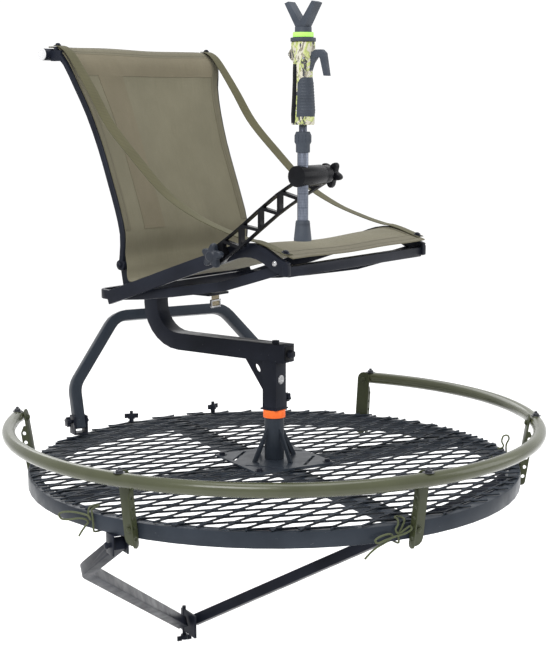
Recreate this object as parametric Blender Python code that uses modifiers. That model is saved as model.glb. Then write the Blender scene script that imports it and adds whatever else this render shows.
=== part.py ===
"""Round-deck hunting stand top: mesh platform, guard rail, swivelling sling seat and gun rest.

Metres, +Z up. The world origin is the middle of the rim's rear edge, level with the deck's top,
where the tree or ladder holds the stand. +Y points at the tree and -Y is the stand's front.
The seat is modelled facing -Y in its own frame and then turned about the post by SEAT_YAW.
"""
import math

import bmesh
import bpy
from mathutils import Matrix, Vector

# Driving dimensions
GAP = 0.0003                     # between pieces that touch
RIM_RADIUS = 0.525
RIM_WIDTH = 0.025
RIM_HEIGHT = 0.031
DECK_THICK = 0.004
CELL_LONG = 0.0935               # one diamond of the expanded mesh, across X
CELL_SHORT = 0.0463              # and across Y
STRAND = 0.0065
CELL_SHIFT = (-0.018, 0.020)
SPOKE_WIDTH = 0.034
SPOKE_HEIGHT = 0.022
PLATE_SIDE = 0.190
POST_RADIUS = 0.021
POST_BORE = 0.0175
POST_TOP = 0.095
RING_TOP = 0.112
SPINDLE_RADIUS = 0.016
SEAT_YAW = math.radians(23.38)
RAIL_RADIUS = 0.562              # the guard rail's centre line
RAIL_TUBE = 0.014
RAIL_Z = 0.084
RAIL_ENDS = (144.0, 396.0)       # degrees from +X, by way of the front
BRACKET_ANGLES = (144.0, 210.0, 270.0, 330.0, 396.0)
BRACKET_LEAN = math.radians(8.8)
ARCH_TUBE = 0.025
ARCH_FOOT = (0.268, 0.446, 0.030)
ARCH_LEAN = math.radians(16.0)
BRACE_TUBE = 0.025
BRACE_PIVOT = (0.4645, -0.2166, -0.058)
BRACE_ELBOW = (0.456, -0.037, -0.161)
BRACE_APEX = (0.016, 0.425, -0.500)
SEAT_HALF = 0.254                # half the seat's width over its side rails
RAIL_THICK = 0.012
ARM_SIDE = 0.038
SLEEVE_SIDE = 0.036
ARM_Z = 0.2365
ARM_BACK = 0.333                 # the arm's upright, behind the post's axis
SADDLE_Z = 0.347
BACK_HALF = 0.212                # half the back's width at its pivots, narrower than the seat
BACK_PIVOT = (0.0, 0.245, 0.425)
REST_PIVOT = (-0.266, -0.066, 0.470)
CLAMP_CENTRE = (-0.266, -0.310, 0.632)
STICK = (-0.330, -0.310)
TRIGGER_PIVOT = (-0.330, -0.3265, 0.839)

MODEL = "round_deck_stand"
COLOURS = {
    "frame_black": ((0.030, 0.034, 0.045), 0.4, 0.6),
    "olive_metal": ((0.130, 0.140, 0.085), 0.35, 0.5),
    "sling_fabric": ((0.235, 0.220, 0.165), 0.95, 0.0),
    "webbing": ((0.200, 0.195, 0.105), 0.9, 0.0),
    "ring_orange": ((0.900, 0.160, 0.020), 0.45, 0.0),
    "alloy": ((0.300, 0.330, 0.400), 0.35, 0.8),
    "black_plastic": ((0.020, 0.020, 0.024), 0.4, 0.0),
    "rubber": ((0.055, 0.070, 0.090), 0.8, 0.0),
    "grip": ((0.420, 0.400, 0.270), 0.7, 0.0),
    "ring_green": ((0.350, 0.720, 0.200), 0.5, 0.0),
    "tie_cord": ((0.110, 0.125, 0.060), 0.9, 0.0),
}


# Scene, materials and placing

def clear_scene():
    for thing in list(bpy.data.objects):
        bpy.data.objects.remove(thing, do_unlink=True)


def new_collection(name):
    group = bpy.data.collections.new(name)
    bpy.context.scene.collection.children.link(group)
    return group


def make_material(name):
    colour, roughness, metallic = COLOURS[name]
    material = bpy.data.materials.new(name)
    material.use_nodes = True
    shader = material.node_tree.nodes["Principled BSDF"]
    shader.inputs["Base Color"].default_value = (*colour, 1.0)
    shader.inputs["Roughness"].default_value = roughness
    shader.inputs["Metallic"].default_value = metallic
    return material


clear_scene()
PARTS = new_collection(MODEL)
GUIDES = new_collection("cutters_and_guides")
PIVOTS = {}


def empty(name, place, parent=None, yaw=0.0):
    """A joint's or an assembly's frame; place is in the parent assembly's own coordinates."""
    group = bpy.data.objects.new(name, None)
    PARTS.objects.link(group)
    PIVOTS[name] = Vector(place) if parent else Vector((0.0, 0.0, 0.0))
    group.parent = parent
    group.location = Vector(place) - (PIVOTS[parent.name] if parent else Vector((0.0, 0.0, 0.0)))
    group.rotation_euler.z = yaw
    return group


def place(thing, group, colour):
    """Put a finished object in the model, under the empty of the piece it moves with."""
    for owner in list(thing.users_collection):
        owner.objects.unlink(thing)
    PARTS.objects.link(thing)
    thing.parent = group
    thing.location = thing.location - PIVOTS[group.name]
    thing.data.materials.clear()
    thing.data.materials.append(make_material(colour))
    return thing


def as_guide(thing):
    for owner in list(thing.users_collection):
        owner.objects.unlink(thing)
    GUIDES.objects.link(thing)
    thing.hide_render = True
    thing.display_type = "WIRE"
    return thing


# Shapes

def mesh_object(name, bm):
    mesh = bpy.data.meshes.new(name)
    bm.to_mesh(mesh)
    bm.free()
    thing = bpy.data.objects.new(name, mesh)
    GUIDES.objects.link(thing)
    return thing


def box(name, low, high):
    """A box between two corners, with its origin at its middle."""
    low, high = Vector(low), Vector(high)
    bm = bmesh.new()
    bmesh.ops.create_cube(bm, size=1.0)
    bmesh.ops.scale(bm, vec=high - low, verts=bm.verts)
    thing = mesh_object(name, bm)
    thing.location = (low + high) / 2
    return thing


def rod(name, start, end, radius, sides=12):
    """A plain round bar from start to end."""
    start, end = Vector(start), Vector(end)
    bm = bmesh.new()
    bmesh.ops.create_cone(bm, cap_ends=True, segments=sides, radius1=radius, radius2=radius,
                          depth=(end - start).length)
    turn = Vector((0, 0, 1)).rotation_difference(end - start).to_matrix()
    bmesh.ops.rotate(bm, cent=(0, 0, 0), matrix=turn, verts=bm.verts)
    thing = mesh_object(name, bm)
    thing.location = (start + end) / 2
    return thing


def turned(name, profile, at, steps=24, closed=False, along_x=False):
    """Turn a profile of (radius, height) points, listed down its outer side."""
    bm = bmesh.new()
    verts = [bm.verts.new((radius, 0.0, height)) for radius, height in profile]
    for first, second in zip(verts, verts[1:]):
        bm.edges.new((first, second))
    if closed:
        bm.edges.new((verts[-1], verts[0]))
    thing = mesh_object(name, bm)
    thing.location = at
    screw = thing.modifiers.new("turn", "SCREW")
    screw.steps = steps
    screw.render_steps = steps
    screw.use_merge_vertices = True
    screw.merge_threshold = 0.00001
    if along_x:
        thing.rotation_euler.y = math.pi / 2
    return thing


def spline_of(curve, points, cyclic):
    spline = curve.splines.new("POLY")
    spline.points.add(len(points) - 1)
    for slot, point in zip(spline.points, points):
        slot.co = (*point, 0.0, 1.0)[:4] if len(point) == 2 else (*point, 1.0)
    spline.use_cyclic_u = cyclic


def flat(name, outline, holes, thickness, at=(0, 0, 0), turn=None):
    """A flat outline with holes, extruded by its thickness about its own plane."""
    curve = bpy.data.curves.new(name, "CURVE")
    curve.dimensions = "2D"
    curve.fill_mode = "BOTH"
    curve.extrude = thickness / 2
    for loop in [outline, *holes]:
        spline_of(curve, loop, True)
    thing = bpy.data.objects.new(name, curve)
    GUIDES.objects.link(thing)
    thing.location = at
    if turn:
        thing.rotation_euler = turn
    return thing


def tube(name, points, radius, resolution=3):
    """A round tube or wire along points, with filled ends."""
    curve = bpy.data.curves.new(name, "CURVE")
    curve.dimensions = "3D"
    curve.bevel_depth = radius
    curve.bevel_resolution = resolution
    curve.use_fill_caps = True
    spline_of(curve, points, False)
    thing = bpy.data.objects.new(name, curve)
    GUIDES.objects.link(thing)
    return thing


def bar(name, points, across, along, twist="MINIMUM"):
    """A rectangular bar along points: across its path's plane, and within it."""
    guide = bpy.data.curves.new(name + "_section", "CURVE")
    guide.dimensions = "2D"
    half_a, half_b = across / 2, along / 2
    spline_of(guide, [(half_a, half_b), (-half_a, half_b), (-half_a, -half_b), (half_a, -half_b)], True)
    section = as_guide_new(name + "_section", guide)
    curve = bpy.data.curves.new(name, "CURVE")
    curve.dimensions = "3D"
    curve.twist_mode = twist
    curve.bevel_mode = "OBJECT"
    curve.bevel_object = section
    curve.use_fill_caps = True
    spline_of(curve, points, False)
    thing = bpy.data.objects.new(name, curve)
    GUIDES.objects.link(thing)
    return as_mesh(thing)


def as_guide_new(name, data):
    thing = bpy.data.objects.new(name, data)
    GUIDES.objects.link(thing)
    thing.hide_render = True
    thing.display_type = "WIRE"
    return thing


def as_mesh(thing):
    """The evaluated shape of a curve or a modified object, as a welded mesh with its origin at zero."""
    bpy.context.view_layer.update()
    graph = bpy.context.evaluated_depsgraph_get()
    mesh = bpy.data.meshes.new_from_object(thing.evaluated_get(graph))
    mesh.transform(thing.matrix_world)
    bm = bmesh.new()
    bm.from_mesh(mesh)
    bmesh.ops.remove_doubles(bm, verts=bm.verts, dist=0.00001)
    bmesh.ops.recalc_face_normals(bm, faces=bm.faces)
    bm.to_mesh(mesh)
    bm.free()
    result = bpy.data.objects.new(thing.name, mesh)
    GUIDES.objects.link(result)
    name = thing.name
    bpy.data.objects.remove(thing, do_unlink=True)
    result.name = name
    return result


def combine(thing, others, operation):
    """Boolean each of the others into thing; the others stay as hidden guides."""
    bpy.context.view_layer.update()
    for number, other in enumerate(others):
        step = thing.modifiers.new(f"{operation.lower()}_{number}", "BOOLEAN")
        step.operation = operation
        step.solver = "EXACT"
        step.object = as_guide(other)
    return as_mesh(thing)


def cut(thing, *cutters):
    return combine(thing, cutters, "DIFFERENCE")


def weld(thing, *others):
    return combine(thing, others, "UNION")


# Paths

def arc(centre, radius, start, end, steps):
    """Points of an arc in a plane, start and end in degrees."""
    points = []
    for step in range(steps + 1):
        angle = math.radians(start + (end - start) * step / steps)
        points.append((centre[0] + radius * math.cos(angle), centre[1] + radius * math.sin(angle)))
    return points


def bent(corners, radius, steps=5):
    """A path through corners, each inner corner rounded to the bend radius."""
    corners = [Vector(corner) for corner in corners]
    points = [corners[0]]
    for before, corner, after in zip(corners, corners[1:], corners[2:]):
        toward = (before - corner).normalized()
        away = (after - corner).normalized()
        half = toward.angle(away) / 2
        reach = radius / math.tan(half)
        middle = corner + (toward + away).normalized() * radius / math.sin(half)
        first = corner + toward * reach - middle
        last = corner + away * reach - middle
        spread = first.angle(last)
        for step in range(steps + 1):
            part = step / steps
            weight_a = math.sin((1 - part) * spread) / math.sin(spread)
            weight_b = math.sin(part * spread) / math.sin(spread)
            points.append(middle + first * weight_a + last * weight_b)
    points.append(corners[-1])
    return [tuple(point) for point in points]


def smooth(points, steps):
    """A smooth curve through the given points (Catmull-Rom), steps pieces between each pair."""
    knots = [Vector(point) for point in points]
    knots = [knots[0] * 2 - knots[1], *knots, knots[-1] * 2 - knots[-2]]
    result = []
    for a, b, c, d in zip(knots, knots[1:], knots[2:], knots[3:]):
        for step in range(steps):
            t = step / steps
            result.append(0.5 * (2 * b + (c - a) * t + (2 * a - 5 * b + 4 * c - d) * t * t
                                 + (3 * b - a - 3 * c + d) * t * t * t))
    result.append(knots[-2])
    return [tuple(point) for point in result]


def side_view(width, points):
    """Seat-frame points from (forward, height) pairs at one distance from the seat's middle."""
    return [(width, -forward, height) for forward, height in points]


# Assemblies and joints, as empties

STAND = empty("stand", (0.0, -RIM_RADIUS, 0.0))
SEAT = empty("seat_swivel_axis", (0.0, 0.0, 0.0), STAND, SEAT_YAW)
BACK = empty("back_fold_axis", BACK_PIVOT, SEAT)
REST = empty("rest_arm_axis", REST_PIVOT, SEAT)
CLAMP = empty("rest_clamp_axis", CLAMP_CENTRE, REST)
STICK_LOWER = empty("stick_axis", (*STICK, CLAMP_CENTRE[2]), CLAMP)
STICK_UPPER = empty("stick_extension_axis", (*STICK, 0.70), STICK_LOWER)
TRIGGER = empty("trigger_axis", TRIGGER_PIVOT, STICK_UPPER)
ARCH = empty("arch_fold_axis", (0.0, *ARCH_FOOT[1:]), STAND)
BRACE = empty("brace_fold_axis", (0.0, *BRACE_PIVOT[1:]), STAND)


# Platform

def rim_ring():
    top = -DECK_THICK - GAP
    outer, inner = RIM_RADIUS, RIM_RADIUS - RIM_WIDTH
    profile = [(outer, top), (outer, top - RIM_HEIGHT), (inner, top - RIM_HEIGHT), (inner, top)]
    place(turned("rim_ring", profile, (0, 0, 0), steps=64, closed=True), STAND, "frame_black")


def deck_mesh():
    """Expanded metal: a disc with a lattice of diamond openings."""
    half_long, half_short = CELL_LONG / 2, CELL_SHORT / 2
    to_side = half_long * half_short / math.hypot(half_long, half_short)
    open_part = (to_side - STRAND / 2) / to_side
    tip, knuckle = half_long * open_part, half_short * open_part
    open_radius = RIM_RADIUS - RIM_WIDTH - 0.005
    cells = []
    reach = int(RIM_RADIUS / half_short) + 2
    for column in range(-reach, reach + 1):
        for row in range(-reach, reach + 1):
            if (column + row) % 2:
                continue
            x = column * half_long + CELL_SHIFT[0]
            y = row * half_short + CELL_SHIFT[1]
            cell = [(x + tip, y), (x, y + knuckle), (x - tip, y), (x, y - knuckle)]
            if max(abs(x), abs(y)) < PLATE_SIDE / 2 - 0.02:
                continue
            cell = clipped(cell, open_radius)
            if enclosed(cell) > 0.2 * 2 * tip * knuckle:
                cells.append(cell)
    disc = arc((0, 0), RIM_RADIUS - 0.0015, 0, 360, 64)[:-1]
    place(flat("deck_mesh", disc, cells, DECK_THICK, (0, 0, -DECK_THICK / 2)), STAND, "frame_black")


def clipped(cell, radius):
    """The part of a small convex cell that lies inside a circle about the deck's centre."""
    centre = Vector((sum(x for x, y in cell), sum(y for x, y in cell)))
    outward = centre.normalized()
    kept = []
    for (ax, ay), (bx, by) in zip(cell, cell[1:] + cell[:1]):
        first = radius - (ax * outward.x + ay * outward.y)
        second = radius - (bx * outward.x + by * outward.y)
        if first >= 0:
            kept.append((ax, ay))
        if first * second < 0:
            share = first / (first - second)
            kept.append((ax + (bx - ax) * share, ay + (by - ay) * share))
    return kept


def enclosed(outline):
    """The area of a flat outline."""
    total = 0.0
    for (ax, ay), (bx, by) in zip(outline, outline[1:] + outline[:1]):
        total += ax * by - bx * ay
    return abs(total) / 2


def spokes():
    """Two crossed square bars welded into one, between the rim's inner faces."""
    reach = RIM_RADIUS - RIM_WIDTH - 0.004
    top = -DECK_THICK - GAP
    half = SPOKE_WIDTH / 2
    along_x = box("deck_spokes", (-reach, -half, top - SPOKE_HEIGHT), (reach, half, top))
    along_y = box("spoke_y", (-half, -reach, top - SPOKE_HEIGHT), (half, reach, top))
    place(weld(along_x, along_y), STAND, "frame_black")


def post():
    """Base plate with its slots, and the post with four slanting gussets."""
    half = PLATE_SIDE / 2
    plate = box("base_plate", (-half, -half, GAP), (half, half, 0.004))
    slots = []
    for corner in range(4):
        slot = box(f"slot_{corner}", (-0.042, -0.0035, -0.01), (0.042, 0.0035, 0.02))
        angle = math.radians(45 + 90 * corner)
        slot.location = (0.078 * math.cos(angle), 0.078 * math.sin(angle), 0.005)
        slot.rotation_euler.z = angle + math.pi / 2
        slots.append(slot)
    place(cut(plate, *slots), STAND, "olive_metal")
    foot = 0.004 + GAP
    profile = [(POST_RADIUS, POST_TOP), (POST_RADIUS, foot), (POST_BORE, foot), (POST_BORE, POST_TOP)]
    shell = as_mesh(turned("post_tube", profile, (0, 0, 0), steps=24, closed=True))
    gussets = []
    for corner in range(4):
        strut = [(0.0195, 0.076), (0.0195, 0.062), (0.048, foot), (0.060, foot)]
        gusset = flat(f"gusset_{corner}", strut, [], 0.005, turn=(math.pi / 2, 0, math.radians(100 + 90 * corner)))
        gussets.append(as_mesh(gusset))
    place(weld(shell, *gussets), STAND, "frame_black")
    ring = [(0.024, RING_TOP), (0.024, POST_TOP + GAP), (0.0168, POST_TOP + GAP), (0.0168, RING_TOP)]
    place(turned("swivel_bushing", ring, (0, 0, 0), steps=32, closed=True), STAND, "ring_orange")


def guard_rail():
    """The rail tube and its five perforated angle brackets, bolted to the rim's outer face."""
    loop = [(x, y, RAIL_Z) for x, y in arc((0, 0), RAIL_RADIUS, *RAIL_ENDS, 56)]
    place(tube("guard_rail", loop, RAIL_TUBE, resolution=3), STAND, "olive_metal")
    for number, angle in enumerate(BRACKET_ANGLES, start=1):
        bracket(f"rail_bracket_{number}", angle)


def bracket(name, angle):
    """An angle iron with round ends; its flange is perforated. Local +X points outwards."""
    half_width, low, high, thick = 0.015, -0.052, 0.094, 0.003
    outline = arc((0, low + half_width), half_width, 180, 360, 6) + arc((0, high - 0.008), half_width, 0, 180, 6)
    web = flat(name, outline, [], thick, turn=(math.pi / 2, 0, math.pi / 2))
    rows = [low + 0.020 + 0.0205 * row for row in range(5)]
    flange_outline = arc((0.008, low + 0.008), 0.008, 180, 360, 4) + [(0.016, 0.052), (0.008, 0.066), (0, 0.066)]
    holes = [arc((0.0088, z), 0.0042, 0, 360, 8)[:-1] for z in rows]
    flange = flat(name + "_flange", flange_outline, holes, thick, turn=(math.pi / 2, 0, 0))
    side = 1 if math.cos(math.radians(angle)) < -0.1 else -1
    flange.location = (-thick / 2, side * (half_width - thick / 2), 0)
    iron = weld(as_mesh(web), as_mesh(flange))
    lean = Matrix.Rotation(BRACKET_LEAN, 4, "Y")
    offset = Matrix.Translation((RIM_RADIUS + 0.0073, 0, 0))
    iron.matrix_world = Matrix.Rotation(math.radians(angle), 4, "Z") @ offset @ lean
    place(iron, STAND, "olive_metal")


def folding_arch():
    """Bent square tube at the tree side, in clevises with a knob bolt through each foot."""
    foot_x, foot_y, foot_z = ARCH_FOOT
    corners = [(-foot_x, 0, 0.012), (-foot_x, 0, 0.113), (-0.143, 0, 0.268), (0.143, 0, 0.268),
               (foot_x, 0, 0.113), (foot_x, 0, 0.012)]
    path = bent([(x, 0, z - foot_z) for x, _, z in corners], 0.055, steps=4)
    arch = bar("arch_tube", path, ARCH_TUBE, ARCH_TUBE)
    arch.rotation_euler.x = -ARCH_LEAN
    arch.location = (0, foot_y, foot_z)
    bores = [rod(f"arch_bore_{side}", (side * foot_x - 0.02, foot_y, foot_z),
                 (side * foot_x + 0.02, foot_y, foot_z), 0.0048) for side in (-1, 1)]
    place(cut(arch, *bores), ARCH, "frame_black")
    for side, word in ((-1, "right"), (1, "left")):
        arch_clevis(side, word)
        knob = knob_bolt(f"arch_knob_{word}", 0.0042, 0.046, 0.0105, 0.009)
        start = side * (foot_x + 0.0225)
        knob.matrix_world = Matrix.Translation((start, foot_y, foot_z)) @ Matrix.Rotation(
            side * math.pi / 2, 4, "Y")
        place(knob, STAND, "frame_black")


def arch_clevis(side, word):
    """A U of flat bar that stands on the rim and straddles one foot."""
    foot_x, foot_y, foot_z = ARCH_FOOT
    outer, inner = 0.0165, 0.0135
    high = foot_z + 0.014
    middle = side * foot_x
    block = box(f"arch_clevis_{word}", (middle - outer, foot_y - 0.016, GAP),
                (middle + outer, foot_y + 0.016, high))
    slot = box(f"clevis_slot_{word}", (middle - inner, foot_y - 0.03, 0.0035),
               (middle + inner, foot_y + 0.03, high + 0.01))
    bore = rod(f"clevis_bore_{word}", (middle - 0.03, foot_y, foot_z), (middle + 0.03, foot_y, foot_z), 0.0048)
    place(cut(block, slot, bore), STAND, "frame_black")


def knob_bolt(name, shank, length, head, head_height):
    """A bolt along -Z from the origin with a lobed hand knob above it."""
    lobes = 5
    rim = []
    for step in range(lobes * 6):
        angle = 2 * math.pi * step / (lobes * 6)
        radius = head * (1 + 0.16 * math.cos(lobes * angle))
        rim.append((radius * math.cos(angle), radius * math.sin(angle)))
    knob = as_mesh(flat(name, rim, [], head_height, (0, 0, head_height / 2)))
    shaft = rod(name + "_shank", (0, 0, -length), (0, 0, head_height / 2), shank)
    return weld(knob, shaft)


def wing_bolt(name, group, height, at, turn=0.0):
    """A threaded stud along +Z with a wing nut on it."""
    stem = as_mesh(turned(name, [(0, height), (0.004, height), (0.004, height * 0.72), (0.0075, height * 0.66),
                                 (0.0085, height * 0.3), (0.0055, height * 0.3), (0.0055, 0), (0, 0)],
                          (0, 0, 0), steps=16))
    wing = box(name + "_wings", (-0.0165, -0.0022, height * 0.36), (0.0165, 0.0022, height * 0.76))
    bolt = weld(stem, wing)
    bolt.matrix_world = Matrix.Translation(at) @ Matrix.Rotation(turn, 4, "Z")
    place(bolt, group, "frame_black")


def rear_wing_bolts():
    for side, word in ((-1, "right"), (1, "left")):
        angle = math.radians(90 - side * 12.5)
        at = (0.511 * math.cos(angle), 0.511 * math.sin(angle), GAP)
        wing_bolt(f"wing_bolt_{word}", STAND, 0.027, at, math.radians(20 * side))


def lower_brace():
    """The V-shaped brace under the deck: two bent square tubes, hinged at two clevises."""
    tubes = []
    for side, word in ((-1, "right"), (1, "left")):
        pivot, elbow, apex = (Vector((side * p[0], p[1], p[2])) for p in (BRACE_PIVOT, BRACE_ELBOW, BRACE_APEX))
        start = pivot - (elbow - pivot).normalized() * 0.007
        path = bent([start, elbow, apex], 0.060, steps=4)
        tubes.append(bar(f"brace_arm_{word}", path, BRACE_TUBE, BRACE_TUBE))
        ears(side, word)
    for side, word, arm in ((-1, "right", tubes[0]), (1, "left", tubes[1])):
        x, y, z = side * BRACE_PIVOT[0], *BRACE_PIVOT[1:]
        bore = rod(f"brace_bore_{word}", (x - 0.04, y, z), (x + 0.04, y, z), 0.0052)
        trim = box(f"brace_trim_{word}", (-0.5, 0.2, -0.7), (0.5, 0.6, -0.3))
        trim.location.x = -side * 0.5 + side * 0.0030
        place(cut(arm, bore, trim), BRACE, "frame_black")
    apex_y, apex_z = BRACE_APEX[1:]
    spacer = box("brace_apex_plate", (-0.0027, apex_y - 0.040, apex_z - 0.030),
                 (0.0027, apex_y + 0.034, apex_z + 0.026))
    stud = rod("apex_stud", (0, apex_y + 0.022, apex_z - 0.040), (0, apex_y + 0.022, apex_z + 0.034), 0.0048)
    place(weld(spacer, stud), BRACE, "frame_black")
    nut = wing_nut("apex_wing_nut")
    nut.location = (0, apex_y + 0.022, apex_z - 0.0395)
    place(nut, BRACE, "frame_black")


def wing_nut(name):
    """A wing nut with a blind bore, whose wings spread along X; its top is at the origin."""
    profile = [(0.0, -0.0045), (0.0054, -0.0045), (0.0054, 0.0), (0.0090, 0.0), (0.0080, -0.0120), (0.0, -0.0120)]
    body = as_mesh(turned(name, profile, (0, 0, 0), steps=16))
    blades = []
    for side in (-1, 1):
        low, high = sorted((side * 0.0070, side * 0.0190))
        blades.append(box(f"{name}_wing_{side}", (low, -0.0020, -0.0150), (high, 0.0020, -0.0030)))
    return weld(body, *blades)


def ears(side, word):
    """A clevis hanging from the rim's underside, with its hinge pin across it."""
    x, y, z = side * BRACE_PIVOT[0], *BRACE_PIVOT[1:]
    top = -DECK_THICK - RIM_HEIGHT - 2 * GAP
    outer, inner = 0.0165, 0.0135
    block = box(f"brace_clevis_{word}", (x - outer, y - 0.016, z - 0.018), (x + outer, y + 0.016, top))
    slot = box(f"brace_slot_{word}", (x - inner, y - 0.03, z - 0.04), (x + inner, y + 0.03, top - 0.0025))
    pin = rod(f"brace_pin_{word}", (x - 0.021, y, z), (x + 0.021, y, z), 0.0048)
    clevis = cut(block, slot)
    place(weld(clevis, pin), STAND, "frame_black")


def tie_cords():
    """Short cords round the rim: two with a knot, a bow and a loose tail, one with a standing loop."""
    for name, angle, shape in TIES:
        turn = Matrix.Rotation(math.radians(angle), 4, "Z")
        route = [turn @ Vector((RIM_RADIUS + out, along, up)) for out, along, up in TIE_START + shape]
        place(tube(name, smooth(route, 2), 0.0019, resolution=2), STAND, "tie_cord")


# Each point is outwards from the rim's outer face, along the rim and up from the deck's top
TIE_START = [(-0.0290, 0.006, -0.012), (-0.0290, 0.006, -0.030), (-0.0275, 0.006, -0.0385), (-0.0200, 0.006, -0.0400),
             (0.0000, 0.006, -0.0392), (0.0038, 0.006, -0.0340), (0.0036, 0.005, -0.0220)]
TIES = [
    ("tie_cord_right", 199.3, [
        (0.0036, 0.003, -0.0080), (0.0022, 0.000, 0.0018), (-0.0050, -0.003, 0.0038), (-0.0180, -0.006, 0.0038),
        (-0.0270, -0.012, 0.0038), (-0.0180, -0.016, 0.0038), (-0.0030, -0.012, 0.0038), (0.0036, -0.008, -0.0030),
        (0.0060, -0.004, -0.0110), (0.0080, 0.003, -0.0145), (0.0110, 0.000, -0.0080), (0.0095, -0.016, -0.0070),
        (0.0110, -0.040, -0.0075), (0.0125, -0.066, -0.0115), (0.0125, -0.082, -0.0190), (0.0120, -0.076, -0.0270),
        (0.0110, -0.058, -0.0255), (0.0100, -0.034, -0.0190), (0.0095, -0.014, -0.0160), (0.0060, -0.006, -0.0210),
        (0.0055, -0.014, -0.0300), (0.0060, -0.024, -0.0420), (0.0060, -0.033, -0.0540)]),
    ("tie_cord_front", 265.1, [
        (0.0036, 0.012, -0.0100), (0.0022, 0.018, 0.0018), (-0.0050, 0.021, 0.0038), (-0.0170, 0.021, 0.0038),
        (-0.0230, 0.015, 0.0038), (-0.0170, 0.009, 0.0038), (-0.0030, 0.007, 0.0038), (0.0036, 0.004, -0.0030),
        (0.0055, -0.002, -0.0120), (0.0090, 0.002, -0.0190), (0.0100, 0.014, -0.0130), (0.0110, 0.025, -0.0070),
        (0.0135, 0.027, -0.0125), (0.0130, 0.014, -0.0190), (0.0120, -0.006, -0.0225), (0.0110, -0.026, -0.0270),
        (0.0110, -0.042, -0.0310), (0.0090, -0.046, -0.0250), (0.0075, -0.034, -0.0200), (0.0065, -0.016, -0.0180),
        (0.0045, -0.008, -0.0240), (0.0050, -0.022, -0.0330), (0.0055, -0.042, -0.0410), (0.0060, -0.056, -0.0500),
        (0.0060, -0.066, -0.0590)]),
    ("tie_cord_left", 341.5, [
        (0.0036, 0.002, -0.0080), (0.0022, 0.000, 0.0018), (0.0030, -0.001, 0.0110), (0.0080, -0.002, 0.0220),
        (0.0040, -0.003, 0.0300), (-0.0060, -0.004, 0.0290), (-0.0100, -0.005, 0.0180), (-0.0060, -0.006, 0.0080),
        (-0.0110, -0.010, 0.0042), (-0.0220, -0.014, 0.0038)]),
]


# Seat

def swivel():
    """The spindle in the post, the square sleeve on it and the bent arm that carries the seat."""
    foot = 0.030
    place(rod("swivel_spindle", (0, 0, foot), (0, 0, 0.205), SPINDLE_RADIUS, sides=24), SEAT, "alloy")
    half = SLEEVE_SIDE / 2
    bottom = RING_TOP + 0.0006
    sleeve = box("swivel_sleeve", (-half, -half, bottom), (half, half, ARM_Z - ARM_SIDE / 2 - GAP))
    flange = box("sleeve_flange", (-0.0215, -0.0215, bottom), (0.0215, 0.0215, bottom + 0.0035))
    bore = rod("sleeve_bore", (0, 0, 0.05), (0, 0, 0.2054), SPINDLE_RADIUS + GAP, sides=24)
    place(cut(weld(sleeve, flange), bore), SEAT, "frame_black")
    corners = side_view(0, [(0.0385, ARM_Z), (-ARM_BACK, ARM_Z), (-ARM_BACK, SADDLE_Z - GAP)])
    arm = bar("swivel_arm", bent(corners, 0.080, steps=7), ARM_SIDE, ARM_SIDE)
    cap = rod("arm_cap_bolt", (0, -0.030, ARM_Z - 0.001), (0, -0.050, ARM_Z - 0.001), 0.009, sides=6)
    bolt = rod("arm_top_bolt", (0, -0.004, ARM_Z), (0, -0.004, ARM_Z + ARM_SIDE / 2 + 0.006), 0.0085, sides=6)
    place(weld(arm, cap, bolt), SEAT, "frame_black")
    low = ARM_Z - ARM_SIDE / 2 - GAP
    outline = [(-half - GAP, low), (-half - GAP, 0.145), (-0.030, 0.152), (-0.078, low)]
    window = [(-0.043 + 0.0065 * math.cos(a) - 0.004 * math.sin(a), 0.197 + 0.009 * math.sin(a))
              for a in (2 * math.pi * n / 12 for n in range(12))]
    gusset = flat("arm_gusset", [(-s, z) for s, z in outline], [[(-s, z) for s, z in window]], 0.006,
                  turn=(math.pi / 2, 0, math.pi / 2))
    place(gusset, SEAT, "frame_black")
    plate = box("saddle_plate", (-0.034, 0.150, SADDLE_Z), (0.034, ARM_BACK + 0.022, SADDLE_Z + 0.005))
    place(plate, SEAT, "frame_black")


SIDE_CURVE = [(-0.245, 0.360), (-0.160, 0.389), (-0.084, 0.416), (0.000, 0.445), (0.060, 0.465),
              (0.100, 0.4785), (0.135, 0.4815), (0.165, 0.473), (0.190, 0.459), (0.2150, 0.4495)]
LOWER_CURVE = [(0.184, 0.4455), (0.115, 0.424), (0.054, 0.4055), (-0.010, 0.3945), (-0.080, 0.383),
               (-0.160, 0.3715), (-0.235, 0.3645)]


def seat_frame():
    """Side rails with their crest, the U-shaped lower bar and the two cross members."""
    middle = SEAT_HALF - RAIL_THICK / 2
    for side, word in ((-1, "right"), (1, "left")):
        rail = bar(f"seat_rail_{word}", smooth(side_view(side * middle, SIDE_CURVE), 2), RAIL_THICK, 0.028)
        if side < 0:
            bore = rod("rest_stud_bore", (-0.28, REST_PIVOT[1], REST_PIVOT[2]),
                       (-0.22, REST_PIVOT[1], REST_PIVOT[2]), 0.0060)
            rail = cut(rail, bore)
        place(rail, SEAT, "frame_black")
        hinge_lug(side, word)
    half = 0.236
    ends = [(-half, -s, z) for s, z in LOWER_CURVE]
    back_y = 0.287
    right = smooth(ends, 1)
    corner = bent([(-half, 0.235, 0.3645), (-half, back_y, 0.3645), (half, back_y, 0.3645), (half, 0.235, 0.3645)],
                  0.026, steps=4)[1:-1]
    left = [(-x, y, z) for x, y, z in reversed(right)]
    place(bar("seat_lower_bar", right + corner + left, 0.008, 0.020, "Z_UP"), SEAT, "frame_black")
    inner = half - 0.004 - GAP
    place(box("seat_cross_bar", (-inner, 0.232, 0.3525), (inner, 0.242, 0.3765)), SEAT, "frame_black")
    reach = SEAT_HALF - RAIL_THICK - GAP
    front = box("seat_front_bar", (-reach, -0.2160, 0.4340), (reach, -0.1960, 0.4540))
    place(front, SEAT, "frame_black")


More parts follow.
